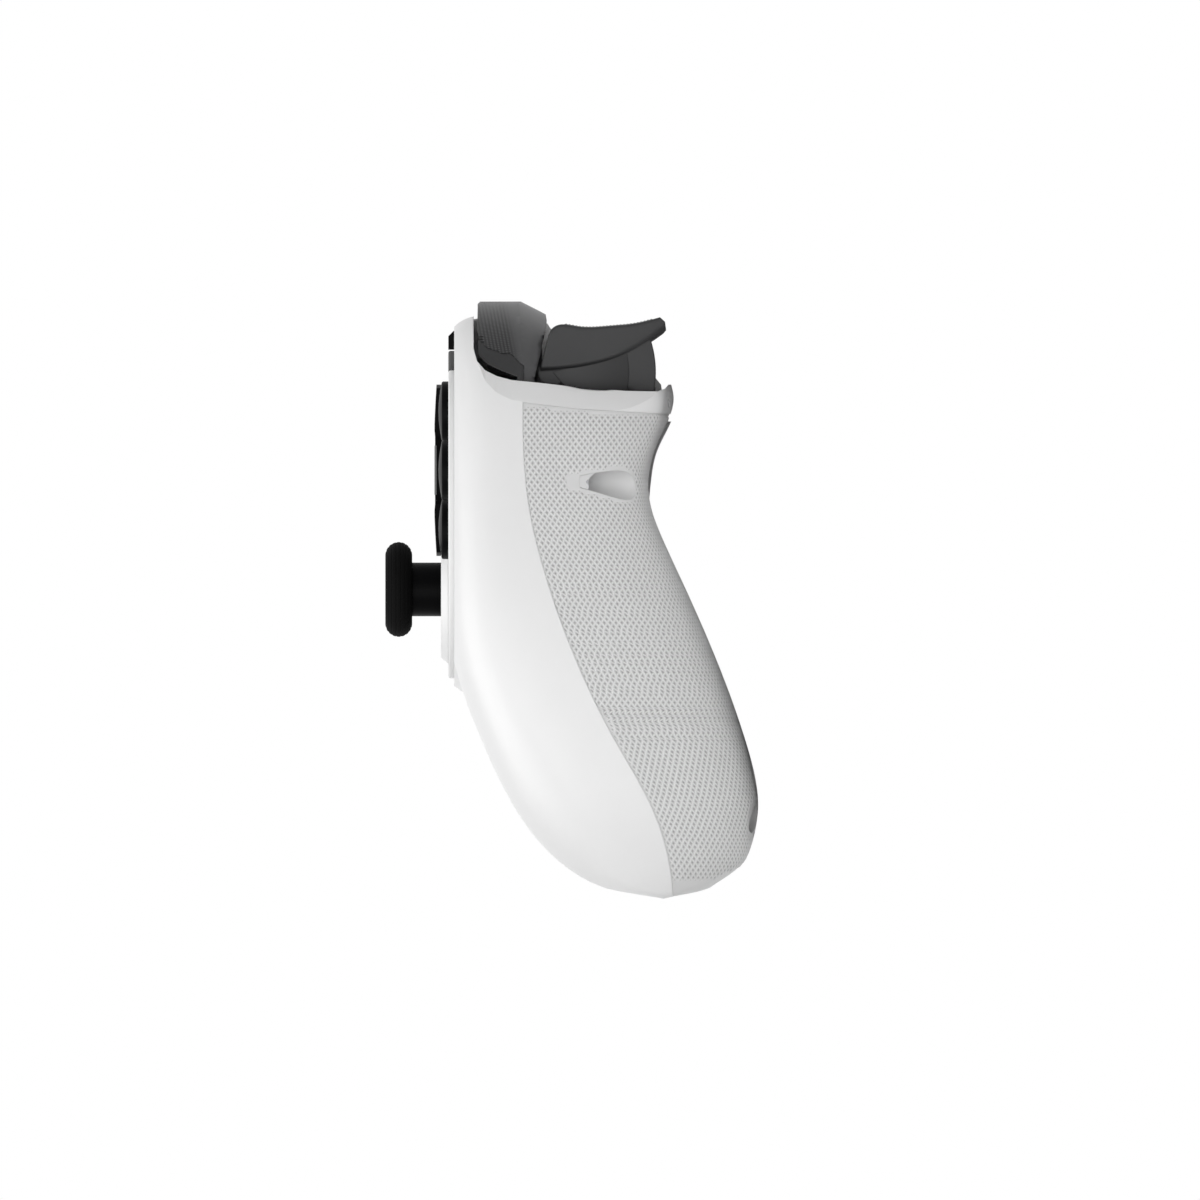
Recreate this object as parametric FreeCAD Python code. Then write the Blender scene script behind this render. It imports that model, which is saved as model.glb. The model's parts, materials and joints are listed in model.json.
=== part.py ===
"""Full-size wireless gamepad, modelled piece by piece in millimetres.

Everything is first built in the pad frame: X to the player's right, Y towards the shoulders,
Z out of the face, with Z = 0 on the flat front of the case. The whole pad is then laid on its
back, on the trigger tips and the grip ends, with the face up.
"""
import FreeCAD, Part
import math
import os
from FreeCAD import Placement, Rotation, Vector

# Case: walls and fits
WALL = 2.2
FRONT_WALL = 2.0
FIT = 0.05
GUIDE_GAP = 0.2
PART_GAP = 0.3
TEXTURE_INSET = 0.2

# Case: outline seen from the front, as a fan of rays about a point under each arch
FAN_X = 34.0
FAN_Y = -33.0
CENTRE_STEPS = [0.0, 11.0, 22.0]
FAN_ANGLES = [0, 8, 16, 24, 32, 40, 47, 54, 61, 68, 75, 82, 89, 96, 102, 107, 111, 114.5,
              117.5, 120, 122, 123.2, 123.9]
OUTER_RADIUS = [(0, 82.5), (13, 83.7), (24, 78.6), (36, 67.6), (52, 56.4), (70, 48.9), (88, 45.1), (104, 42.9),
                (114, 40.9), (119, 39.1), (122, 36.4), (123.5, 33.9), (124, 32.2)]
INNER_RADIUS = [(0, 15.0), (26, 14.0), (52, 12.9), (75, 13.0), (92, 14.3), (106, 16.6), (114, 19.1),
                (119, 22.2), (122, 25.8), (123.5, 28.4), (124, 30.0)]

# Case: depth of the front, the grips' back and the middle's back at each height Y
FRONT_DEPTH = [(-52.4, -36.7), (-51.8, -32.3), (-50.4, -26.4), (-47.6, -20.8), (-42.8, -15.3), (-36.4, -10.6),
               (-28.0, -6.3), (-18.0, -2.2), (-8.0, 0.6), (6.0, 1.5), (30.0, 2.0), (52.0, 4.6)]
GRIP_BACK = [(-52.4, -36.7), (-51.9, -40.5), (-50.4, -44.9), (-47.6, -49.0), (-43.0, -52.0), (-36.2, -53.2),
             (-26.0, -51.4), (-12.0, -46.5), (2.0, -40.45), (12.0, -35.9), (19.0, -33.9), (24.0, -34.5), (29.4, -36.4),
             (32.2, -38.0), (34.6, -38.7), (37.0, -38.4), (43.0, -38.0), (52.0, -38.0)]
CENTRE_BACK = [(-22.0, -25.0), (-10.0, -30.0), (2.0, -32.4), (12.0, -33.2), (19.0, -33.6), (24.0, -34.4),
               (29.4, -36.3), (32.2, -38.0), (34.6, -38.7), (37.0, -38.4), (43.0, -38.0), (52.0, -38.0)]
WIDEST_SHARE = 0.42
BLEND_FROM = 20.0
BLEND_TO = 50.0
FRONT_SQUARENESS = [(0, 5.0), (40, 4.0), (70, 3.0), (100, 2.5), (124, 2.1)]
BACK_SQUARENESS = [(0, 5.0), (22, 4.7), (45, 3.2), (70, 2.7), (100, 2.4), (124, 2.1)]
SHARES = [1.0, 0.997, 0.985, 0.955, 0.9, 0.82, 0.72, 0.6, 0.45, 0.3, 0.15, 0.0]
END_WALL_TURN = 0.016

# Case: seam between the smooth front and the textured back, as (Z, Y)
SEAM = [(-12.0, 34.6), (-12.0, 31.0), (-12.9, 17.5), (-16.2, 3.5), (-21.3, -10.5), (-28.1, -24.5),
        (-35.5, -38.5), (-37.6, -46.0), (-38.0, -58.0)]
SEAM_TOP = [(-21.5, 33.4), (-48.0, 32.0)]

# Shoulder wells
WELL_X = 17.2
WELL_SIDE_WALL = 3.6
WELL_BACK_WALL = 1.2
WELL_BOTTOM = 24.2
WELL_FRONT = -10.4
RIM = [(-3.4, 44.0), (-4.0, 41.8), (-5.4, 40.2), (-7.4, 39.2), (-10.0, 38.5), (-15.0, 38.0), (-22.0, 37.2),
       (-30.0, 36.6), (-35.6, 36.5), (-36.9, 37.0), (-37.5, 37.7)]
BEVEL_FROM_X = 63.0
BEVEL_TO_X = 78.0
BEVEL_DROP = 9.5
BEVEL_FORWARD = 4.4
WEB = 1.4
BRIDGE_TOP = 48.4
BRIDGE = [(-6.0, BRIDGE_TOP), (-16.3, BRIDGE_TOP), (-17.6, 46.4), (-29.0, 46.4), (-36.2, 37.7), (-37.3, 30.0)]
CONTROL_DEPTH = 4.6

# Flat panel of the front, and the face plate on it
PANEL_MARGIN = 1.35
PANEL_DEPTH = 3.0
PANEL_BEVEL = 1.25
PANEL_BEVEL_DEPTH = 1.7
PLATE_HEIGHT = 1.03
PLATE_EDGE = 0.4
PLATE_OUTLINE = [(0.0, -12.6), (20.0, -13.1), (36.0, -13.7), (49.0, -11.8), (57.0, -5.0), (61.2, 7.0),
                 (61.9, 20.0), (59.8, 30.0), (54.0, 37.4), (45.0, 40.0), (36.0, 40.0)]

# Touchpad and the black trim above it
TOUCH_HALF = 23.5
TOUCH_BOTTOM = 24.0
TOUCH_TOP = 43.6
TOUCH_THICK = 2.4
TOUCH_CLICK_DEPTH = 2.9
TRIM_TOP = 47.1
TRIM_DEPTH = 1.0

# Controls on the face
CLUSTER_X = 45.0
CLUSTER_Y = 22.7
BUTTON_PITCH = 10.3
BUTTON_RADIUS = 5.25
BUTTON_TOP = 2.75
BUTTON_RIM = 2.2
BUTTON_FLANGE = 0.7
BUTTON_TRAVEL = 1.2
FLANGE_THICK = 0.9
DPAD_HALF = 15.0
DPAD_ARM = 8.6
DPAD_TOP = 3.5
DPAD_DIP = 0.5
DPAD_PIVOT_Z = -3.0
DPAD_GAP = 0.6
DPAD_BOTTOM = -1.2
DPAD_EAR_OUT = 4.0
DPAD_EAR_HALF = 1.6
DPAD_BLOCK = 2.4
DPAD_PIN_END = 4.6
DPAD_PLUNGER_OUT = 10.5
DPAD_PLUNGER = 2.0
FOUR_WAYS = ((1, 0), (-1, 0), (0, 1), (0, -1))
PILL_X = 28.2
PILL_Y = 30.0
PILL_LIP = 0.8
PILL_LENGTH = 7.0
PILL_WIDTH = 3.2
PILL_TOP = 1.4
HOME_RADIUS = 4.0
STICK_X = 27.0
STICK_Y = 1.85

# Analogue sticks
CAP_RADIUS = 8.3
CAP_BOTTOM = 7.35
CAP_TOP = 12.06
STEM_RADIUS = 4.7
STICK_PIVOT_Z = -9.5
DOME_RADIUS = 11.6
DOME_WALL = 0.8
DOME_ANGLE = 78.0
SHAFT_RADIUS = 1.5
BEZEL_BASE = 13.0
BEZEL_RIM = 11.9
BEZEL_HOLE = 10.7
BEZEL_TOP = 2.31
HOUSING_HALF = 6.5
HOUSING_WALL = 1.1
HOUSING_TOP = -6.8
GIMBAL_HALF = 4.8
GIMBAL_HOLE = 3.3
GIMBAL_THICK = 3.0
YOKE_HALF = 2.7
PIVOT_PIN = 0.8

# Triggers
TRIGGER_PIVOT = (-17.1, 39.9)
TRIGGER_ARC = 18.2
TRIGGER_WALL = 1.8
TRIGGER_IN_X = 29.6
TRIGGER_OUT_X = 57.4
CORE_IN_X = 31.0
CORE_OUT_X = 53.4
CHEEK = 2.2
SIDE_IN_X = 56.0
SIDE_OUT_X = 57.0
CORE_ROUND = 4.4
PADDLE_ROUND = 1.5
CORE_ANGLES = (18, -28)
PADDLE_TOP = [(-16.9, 47.3), (-18.2, 48.15), (-21.5, 47.9), (-27.6, 48.0), (-31.6, 48.4),
              (-34.6, 49.1), (-36.0, 49.5)]
PADDLE_LIP = [(-36.9, 48.7), (-37.1, 47.2)]
PADDLE_UNDER = [(-36.6, 46.6), (-34.6, 45.2), (-31.6, 43.4), (-28.8, 42.0), (-26.4, 41.2),
                (-21.0, 40.1), (-15.0, 39.6)]
PADDLE_FRONT = [(-15.2, 41.2), (-15.9, 44.0), (-16.5, 46.4)]
ARM_THICK = 2.0
ARM_HALF = 2.5
TRIGGER_PIN = 1.25
TRIGGER_HUB = 2.3
SPRING_OUT = 2.5
SPRING_IN = 1.6
SPRING_LENGTH = 6.0

# Bumpers
BUMPER_IN_X = 17.6
BUMPER_OUT_X = 61.6
BUMPER_PROFILE = [(-4.2, 42.8), (-4.2, 51.7), (-4.6, 52.1), (-16.2, 52.1), (-16.0, 47.7),
                  (-13.9, 38.8), (-13.9, 33.2), (-11.0, 33.2), (-11.0, 39.0), (-7.7, 40.3), (-5.7, 41.3)]
BUMPER_CHAMFER = [(-11.6, 0.0), (-15.9, 2.2), (-16.3, 4.6)]
BUMPER_OUTLINE = [(17.6, 50.9), (24.0, 51.8), (34.0, 52.1), (44.0, 51.5), (52.0, 49.4), (57.6, 46.0),
                  (60.6, 42.0), (61.6, 37.5)]
BUMPER_PIVOT = (20.4, 43.0)
BUMPER_PIN = 1.0
BUMPER_WALL = 1.8
LINER_WALL = 1.2
LINER = [(-16.4, 24.0), (-16.4, 45.4), (-28.6, 45.4), (-35.2, 37.2), (-36.0, 24.0)]
SWITCH_X = 48.0
SWITCH_SIZE = 5.0

# Boards, battery and sockets
BUTTON_BOARD_FRONT = -7.0
MAIN_BOARD_FRONT = -16.0
BOARD_THICK = 1.6
BOARD_MARGIN = 3.0
MEMBRANE = 0.8
DOME_HEIGHT = 1.2
DOME_PAD = 3.4
STICK_HOLE = 13.2
UPPER_BOSSES = [(34.5, 33.0), (56.0, 34.5), (56.0, 9.5), (9.0, -6.0)]
LOWER_BOSSES = [(44.0, -8.6), (8.0, -12.6)]
BOSS_RADIUS = 2.3
BOARD_SCREW = 0.8
BOARD_HEAD = 1.5
BOARD_HEAD_HEIGHT = 1.0
BATTERY_HALF = 21.0
BATTERY_Y = (-5.0, 21.0)
BATTERY_THICK = 7.6
BATTERY_GAP = 0.4
USB_HALF = 4.47
USB_HEIGHT = 3.2
USB_LENGTH = 7.3
USB_SUNK = 0.5
USB_SHELL = 0.3
USB_TONGUE = 0.7
JACK_BORE = 1.8
JACK_NOSE = 2.9
JACK_LENGTH = 12.0
JACK_HALF = 3.6

# Rumble motors
MOTOR_X = 59.0
MOTOR_Z = -24.0
MOTOR_RADIUS = 6.5
MOTOR_Y = (-20.0, -8.0)
MOTOR_SHAFT = 0.8
WEIGHT_RADIUS = 8.4
WEIGHT_THICK = 5.6
WEIGHT_GAP = 0.6
CRADLE_HALF = 7.0
CRADLE_RIB = 2.0

# Case screws, and the pockets that hold their heads
SCREWS = [(71.4, 20.1, -22.0), (66.0, -38.2, -44.0)]
POCKET_RADIUS = 2.55
POCKET_WALL = 1.45
POCKET_FLOOR = 2.0
SCREW_HEAD = 2.2
SCREW_HEAD_HEIGHT = 1.5
SCREW_SHANK = 1.2
SCREW_LENGTH = 8.0
CASE_BOSS = 3.2

# Back plate
BACK_HALF = 24.0
BACK_Y = (-8.0, 31.4)
BACK_PROUD = 0.6
BACK_SUNK = 1.0
BACK_GAP = 0.15

# Line through the trigger tips and the grip ends, as a drop in Z over a run in Y
REST_DROP = 16.62
REST_RUN = 85.05

FAR = 90.0
MEASURE = 0.05
EDGE_FIND = 0.01
NODES = {}


def spline_bends(table):
    """Second derivatives at a table's points, for a natural cubic spline through them."""
    xs = [p[0] for p in table]
    ys = [p[1] for p in table]
    count = len(table)
    ratio, bend = [0.0] * count, [0.0] * count
    for i in range(1, count - 1):
        share = (xs[i] - xs[i - 1]) / (xs[i + 1] - xs[i - 1])
        pivot = share * ratio[i - 1] + 2.0
        ratio[i] = (share - 1.0) / pivot
        turn = (ys[i + 1] - ys[i]) / (xs[i + 1] - xs[i]) - (ys[i] - ys[i - 1]) / (xs[i] - xs[i - 1])
        bend[i] = (6.0 * turn / (xs[i + 1] - xs[i - 1]) - share * bend[i - 1]) / pivot
    for i in range(count - 2, -1, -1):
        bend[i] = ratio[i] * bend[i + 1] + bend[i]
    return bend


BENDS = {}


def smooth_value(table, x):
    """Value at x of a natural cubic spline through the table's points."""
    if x <= table[0][0]:
        return table[0][1]
    if x >= table[-1][0]:
        return table[-1][1]
    if id(table) not in BENDS:
        BENDS[id(table)] = spline_bends(table)
    bends = BENDS[id(table)]
    i = max(k for k in range(len(table) - 1) if table[k][0] <= x)
    width = table[i + 1][0] - table[i][0]
    b = (x - table[i][0]) / width
    a = 1.0 - b
    curve = ((a ** 3 - a) * bends[i] + (b ** 3 - b) * bends[i + 1]) * width * width / 6.0
    return a * table[i][1] + b * table[i + 1][1] + curve


def back_depth(x, y):
    """Depth of the case's back: the middle's depth, blending into the grips' depth outwards."""
    w = min(max((abs(x) - BLEND_FROM) / (BLEND_TO - BLEND_FROM), 0.0), 1.0)
    w = w * w * (3 - 2 * w)
    return (1 - w) * smooth_value(CENTRE_BACK, y) + w * smooth_value(GRIP_BACK, y)


def case_section(angle, shift, side, depth):
    """Points of one closed section of the case, inset sideways and in depth."""
    turn = math.radians(angle)
    far = smooth_value(OUTER_RADIUS, angle) - side
    near = smooth_value(INNER_RADIUS, angle) + side
    middle = (far + near) / 2
    reach = (far - near) / 2
    points = []
    across = SHARES + [-share for share in reversed(SHARES[:-1])]
    for face, shares in ((1, across[:-1]), (-1, across[:0:-1])):
        power = smooth_value(FRONT_SQUARENESS if face > 0 else BACK_SQUARENESS, angle)
        for share in shares:
            radius = middle + reach * share
            x = FAN_X + radius * math.sin(turn) + shift
            y = FAN_Y + radius * math.cos(turn)
            front = smooth_value(FRONT_DEPTH, y)
            back = back_depth(x, y)
            widest = front + WIDEST_SHARE * (back - front)
            rise = front - depth - widest if face > 0 else back + depth - widest
            points.append(Vector(x, y, widest + rise * (1 - abs(share) ** power) ** (1 / power)))
    return points


def chord_steps(rows, closed):
    """Shared curve parameters for rows of points: their average chord lengths."""
    count = len(rows[0]) + (1 if closed else 0)
    shares = [0.0] * (count - 1)
    for row in rows:
        loop = row + [row[0]] if closed else row
        lengths = [a.distanceToPoint(b) for a, b in zip(loop, loop[1:])]
        shares = [s + d / sum(lengths) / len(rows) for s, d in zip(shares, lengths)]
    values = [0.0]
    for share in shares:
        values.append(values[-1] + share)
    return values


def case_half(side, depth):
    """One smooth closed solid for the right half of the case, inset sideways and in depth."""
    rows = [case_section(0, step - FAN_X, side, depth) for step in CENTRE_STEPS]
    rows += [case_section(angle * (1 - END_WALL_TURN * side), 0, side, depth) for angle in FAN_ANGLES]
    around = chord_steps(rows, True)
    rings = []
    for row in rows:
        ring = Part.BSplineCurve()
        ring.interpolate(Points=row, PeriodicFlag=True, Parameters=around)
        rings.append(ring)
    columns = [list(column) for column in zip(*[ring.getPoles() for ring in rings])]
    along = chord_steps(columns, False)
    lines = []
    for column in columns:
        line = Part.BSplineCurve()
        line.interpolate(Points=column, Parameters=along)
        lines.append(line)
    skin = Part.BSplineSurface()
    skin.buildFromPolesMultsKnots([line.getPoles() for line in lines], rings[0].getMultiplicities(),
                                  lines[0].getMultiplicities(), rings[0].getKnots(), lines[0].getKnots(),
                                  True, False, rings[0].Degree, lines[0].Degree)
    face = skin.toShape()
    caps = [Part.Face(Part.Wire(edge)) for edge in face.Edges if edge.isClosed()]
    shape = Part.Compound([face] + caps)
    shape.sewShape()
    solid = Part.makeSolid(shape.Shells[0])
    if solid.Volume < 0:
        solid.reverse()
    return solid


def mirrored(shape):
    """The same shape on the pad's other side."""
    return shape.mirror(Vector(0, 0, 0), Vector(1, 0, 0))


def case_solid(side, depth):
    """The whole case as one smooth solid, inset sideways and in depth."""
    half = case_half(side, depth)
    return half.fuse(mirrored(half))


def box(x0, x1, y0, y1, z0, z1):
    """Box between two corners."""
    return Part.makeBox(x1 - x0, y1 - y0, z1 - z0, Vector(x0, y0, z0))


def rod(radius, start, end):
    """Cylinder between two points."""
    a, b = Vector(*start), Vector(*end)
    return Part.makeCylinder(radius, (b - a).Length, a, b - a)


def side_prism(outline, x0, x1):
    """Solid with an outline given as (Z, Y), running across the pad from x0 to x1."""
    points = [Vector(x0, y, z) for z, y in outline]
    return Part.Face(Part.makePolygon(points + points[:1])).extrude(Vector(x1 - x0, 0, 0))


def face_prism(wire, z0, z1):
    """Solid with a closed wire at Z = 0 as its outline, from z0 to z1."""
    face = Part.Face(wire)
    face.translate(Vector(0, 0, z0))
    return face.extrude(Vector(0, 0, z1 - z0))


def spline_edge(points):
    """Smooth edge through points."""
    curve = Part.BSplineCurve()
    curve.interpolate(Points=points)
    return curve.toShape()


def turned(profile, x, y):
    """Solid of revolution about a line out of the face at x, y; the profile is (radius, Z)."""
    points = [Vector(x + r, y, z) for r, z in profile]
    face = Part.Face(Part.makePolygon(points + points[:1]))
    return face.revolve(Vector(x, y, 0), Vector(0, 0, 1), 360)


def joined(shapes):
    """All shapes fused into one, with split faces merged."""
    result = shapes[0].fuse(shapes[1:]) if len(shapes) > 1 else shapes[0]
    return result.removeSplitter()


def keep(name, shape):
    """File a finished piece under its name."""
    NODES[name] = shape


def keep_pair(suffix, shape):
    """File a right-hand piece and its mirror image."""
    keep("right_" + suffix, shape)
    keep("left_" + suffix, mirrored(shape))


def front_region():
    """Everything in front of the seam, with the rim round the wells, as a solid across the pad."""
    seam = spline_edge([Vector(-FAR, y, z) for z, y in SEAM])
    ends = [(SEAM[-1][0], -FAR), (FAR, -FAR), (FAR, FAR), (-FAR, FAR), SEAM_TOP[1], SEAM_TOP[0], SEAM[0]]
    points = [Vector(-FAR, y, z) for z, y in [SEAM[-1]] + ends]
    edges = [seam] + [Part.makeLine(a, b) for a, b in zip(points, points[1:])]
    wire = Part.Wire(Part.__sortEdges__(edges))
    return Part.Face(wire).extrude(Vector(2 * FAR, 0, 0))


def rim_cutter():
    """Space above the right well's rim, widening outwards as a bevel."""
    start = [(RIM[0][0], FAR)] + RIM + [(-FAR, RIM[-1][1]), (-FAR, FAR)]
    end = [(z + BEVEL_FORWARD if k < 2 else z, y - BEVEL_DROP if 0 < k < len(start) - 1 else y)
           for k, (z, y) in enumerate(start)]
    inner = side_prism(start, WELL_X, BEVEL_FROM_X)
    wires = []
    for x, outline in ((BEVEL_FROM_X, start), (BEVEL_TO_X, end)):
        points = [Vector(x, y, z) for z, y in outline]
        wires.append(Part.makePolygon(points + points[:1]))
    return inner.fuse(Part.makeLoft(wires, True, True))


def well_space(skin):
    """Space of the right well inside a skin: the trigger's bay and the shallow bay under the bumper."""
    floor = [(RIM[0][0] - 0.5, FAR), (RIM[0][0] - 0.5, 41.2), (-6.8, 38.7), (WELL_FRONT, 37.2),
             (WELL_FRONT, WELL_BOTTOM), (-FAR, WELL_BOTTOM), (-FAR, FAR)]
    return skin.common(side_prism(floor, WELL_X, FAR))


def bridge_cutter(wall):
    """Space above and behind the bridge between the wells, sunk into it by a wall's thickness."""
    line = [(z + wall, y - wall) for z, y in BRIDGE]
    around = [(line[0][0], FAR)] + line + [(-FAR, line[-1][1]), (-FAR, FAR)]
    return side_prism(around, -WELL_X - WEB, WELL_X + WEB)


def hollow_space(skin):
    """Space inside the case that holds the boards: open in the middle, in front of and below the wells."""
    behind_buttons = [(-FRONT_WALL, -FAR), (-FRONT_WALL, 39.4), (-CONTROL_DEPTH, 39.4), (WELL_FRONT + WEB, 36.0),
                      (WELL_FRONT + WEB, WELL_BOTTOM - WEB), (-FAR, WELL_BOTTOM - WEB), (-FAR, -FAR)]
    middle = box(WEB - WELL_X, WELL_X - WEB, -FAR, FAR, -FAR, -FRONT_WALL)
    return skin.common(side_prism(behind_buttons, -FAR, FAR).fuse(middle)).cut(bridge_cutter(WALL))


def plate_wire(grow):
    """Outline of the face plate at Z = 0, grown or shrunk by moving its points."""
    def moved(x, y):
        reach = math.hypot(x, y - 12.0)
        return Vector(x + grow * x / reach, y + grow * (y - 12.0) / reach, 0)
    right = [moved(x, y) for x, y in PLATE_OUTLINE]
    left = [Vector(-p.x, p.y, 0) for p in right[1:]]
    around = spline_edge(list(reversed(left)) + right)
    notch = [right[-1], Vector(TOUCH_HALF + GUIDE_GAP - grow, right[-1].y, 0),
             Vector(TOUCH_HALF + GUIDE_GAP - grow, TOUCH_BOTTOM - GUIDE_GAP + grow, 0)]
    path = notch + [Vector(-p.x, p.y, 0) for p in reversed(notch)]
    edges = [around] + [Part.makeLine(a, b) for a, b in zip(path, path[1:])]
    return Part.Wire(Part.__sortEdges__(edges))


def full_wire(grow):
    """Outline of the face plate without its notch, for the boards behind it."""
    right = [Vector(x - grow * x / 62.0, y - grow * (y - 12.0) / 26.0, 0) for x, y in PLATE_OUTLINE]
    left = [Vector(-p.x, p.y, 0) for p in right[1:]]
    around = spline_edge(list(reversed(left)) + right)
    top = Part.makeLine(right[-1], left[-1])
    return Part.Wire(Part.__sortEdges__([around, top]))


def cross(half, arm, z0, z1, x, y):
    """Plus-shaped block about x, y."""
    upright = box(x - arm / 2, x + arm / 2, y - half, y + half, z0, z1)
    level = box(x - half, x + half, y - arm / 2, y + arm / 2, z0, z1)
    corners = []
    for sx in (-1, 1):
        for sy in (-1, 1):
            inner = [(arm / 2, arm / 2), (arm / 2 + 1.6, arm / 2), (arm / 2, arm / 2 + 1.6)]
            points = [Vector(x + sx * a, y + sy * b, z0) for a, b in inner]
            corners.append(Part.Face(Part.makePolygon(points + points[:1])).extrude(Vector(0, 0, z1 - z0)))
    round_ends = Part.makeCylinder(half, z1 - z0, Vector(x, y, z0))
    return joined([upright, level] + corners).common(round_ends)


def pill(length, width, z0, z1, x, y):
    """Upright block with round ends about x, y."""
    straight = (length - width) / 2
    block = box(x - width / 2, x + width / 2, y - straight, y + straight, z0, z1)
    ends = [Part.makeCylinder(width / 2, z1 - z0, Vector(x, y + s * straight, z0)) for s in (-1, 1)]
    return joined([block] + ends)


def button_places():
    """The four face buttons' names and centres."""
    x, y, p = CLUSTER_X, CLUSTER_Y, BUTTON_PITCH
    return {"top_button": (x, y + p), "right_button": (x + p, y), "bottom_button": (x, y - p),
            "left_button": (x - p, y)}


def face_holes(z0, z1, grow):
    """Cutters for every control that comes through the face."""
    deep = z1 - z0
    holes = [Part.makeCylinder(BUTTON_RADIUS + grow, deep, Vector(x, y, z0)) for x, y in button_places().values()]
    holes.append(cross(DPAD_HALF + DPAD_GAP, DPAD_ARM + 2 * DPAD_GAP, z0, z1, -CLUSTER_X, CLUSTER_Y))
    holes.append(Part.makeCylinder(HOME_RADIUS + grow, z1 - z0, Vector(0, STICK_Y, z0)))
    for side in (-1, 1):
        holes.append(pill(PILL_LENGTH + 2 * grow, PILL_WIDTH + 2 * grow, z0, z1, side * PILL_X, PILL_Y))
        holes.append(Part.makeCylinder(BEZEL_HOLE + 0.9 + FIT, z1 - z0, Vector(side * STICK_X, STICK_Y, z0)))
    return holes


def case_screw_parts(skin, hollow, front):
    """Bosses, pockets and screws of the case, as front bosses, back bosses, cutters and screws."""
    front_bosses, back_bosses, pockets, screws = [], [], [], []
    for sx in (-1, 1):
        for x, y, floor in SCREWS:
            x = sx * x
            top = floor + POCKET_FLOOR
            post = rod(CASE_BOSS, (x, y, top), (x, y, 5))
            front_bosses.append(post.common(hollow))
            front_bosses.append(post.common(skin).common(front))
            back_bosses.append(rod(POCKET_RADIUS + POCKET_WALL, (x, y, -FAR), (x, y, top)).common(skin))
            pockets.append(rod(POCKET_RADIUS, (x, y, -FAR), (x, y, floor)))
            under = floor - SCREW_HEAD_HEIGHT
            tip = under + SCREW_LENGTH
            pockets.append(rod(SCREW_SHANK, (x, y, floor - 1), (x, y, tip)))
            head = rod(SCREW_HEAD, (x, y, under), (x, y, floor))
            drive = rod(SCREW_HEAD / 2, (x, y, under - 1), (x, y, under + SCREW_HEAD_HEIGHT / 2))
            shank = rod(SCREW_SHANK, (x, y, floor), (x, y, tip))
            screws.append(head.fuse(shank).cut(drive).removeSplitter())
    return front_bosses, back_bosses, pockets, screws


def board_boss_places():
    """Centres of the bosses for the button board and for the main board, on both sides."""
    upper = [(s * x, y) for s in (-1, 1) for x, y in UPPER_BOSSES]
    lower = [(s * x, y) for s in (-1, 1) for x, y in LOWER_BOSSES]
    return upper, lower


def build_case():
    """Front shell, rear shell, back plate and the case screws."""
    front_cut = box(-FAR, FAR, -FAR, FAR, -FAR, 0)
    skin = case_solid(0, 0).common(front_cut).fuse(front_panel())
    textured = case_solid(TEXTURE_INSET, TEXTURE_INSET)
    inner_skin = case_solid(WALL, WALL)
    well_skin = case_solid(WELL_SIDE_WALL, WELL_BACK_WALL)
    front = front_region()
    hollow = hollow_space(inner_skin)
    well = well_space(well_skin)
    rim = rim_cutter()
    wells = [well, mirrored(well), rim, mirrored(rim), bridge_cutter(0)]
    front_bosses, back_bosses, pockets, screws = case_screw_parts(textured, hollow, front)
    shell = skin.cut([hollow] + wells)
    upper, lower = board_boss_places()
    bosses = [rod(BOSS_RADIUS, (x, y, -1), (x, y, BUTTON_BOARD_FRONT)) for x, y in upper]
    bosses += [rod(BOSS_RADIUS, (x, y, -1), (x, y, MAIN_BOARD_FRONT)) for x, y in lower]
    screw_holes = [rod(BOARD_SCREW, (x, y, -FRONT_WALL), (x, y, -FAR)) for x, y in upper + lower]
    board_back = BUTTON_BOARD_FRONT - BOARD_THICK
    screw_holes += [rod(BOARD_HEAD + GUIDE_GAP, (x, y, board_back), (x, y, WELL_FRONT - WEB))
                    for x, y in upper if y > WELL_BOTTOM]
    touch = box(-TOUCH_HALF - GUIDE_GAP, TOUCH_HALF + GUIDE_GAP, TOUCH_BOTTOM - GUIDE_GAP, TOUCH_TOP + GUIDE_GAP,
                -TOUCH_CLICK_DEPTH, 1)
    trim = box(-TOUCH_HALF, TOUCH_HALF, TOUCH_TOP + GUIDE_GAP, TRIM_TOP, -TRIM_DEPTH, 1)
    mouth = box(-USB_HALF - USB_SUNK, USB_HALF + USB_SUNK, BRIDGE_TOP - USB_SUNK, FAR,
                MAIN_BOARD_FRONT - USB_SHELL, MAIN_BOARD_FRONT + USB_HEIGHT + USB_SUNK)
    usb = usb_block(FIT).fuse(mouth)
    jack = rod(JACK_NOSE + FIT, (0, case_bottom() - 2, jack_z()), (0, case_bottom() + WALL + 2, jack_z()))
    front_shell = shell.common(front).fuse(front_bosses + bosses).common(skin)
    control_holes = face_holes(-CONTROL_DEPTH, 1, GUIDE_GAP)
    front_shell = front_shell.cut(pockets + screw_holes + [touch, trim, usb, jack] + control_holes)
    rear_cut = textured.cut([hollow] + wells).cut(front)
    low, high = BACK_Y
    plate_zone = box(-BACK_HALF, BACK_HALF, low, high, -FAR, -FAR / 5)
    half = BACK_HALF - BACK_GAP
    plate_space = box(-half, half, low + BACK_GAP, high - BACK_GAP, -FAR, -FAR / 5)
    sunk = case_solid(BACK_SUNK, BACK_SUNK)
    recess = textured.common(plate_zone).cut(sunk)
    rear_shell = rear_cut.fuse([boss.cut(front) for boss in back_bosses]).cut(pockets + [recess, jack])
    plate = case_solid(-BACK_PROUD, -BACK_PROUD).common(plate_space).cut(sunk)
    keep("front_shell", main_solid(front_shell))
    keep("rear_shell", main_solid(rear_shell))
    keep("back_plate", main_solid(plate))
    keep("case_screws", Part.Compound(screws))
    return hollow, well, inner_skin


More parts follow.
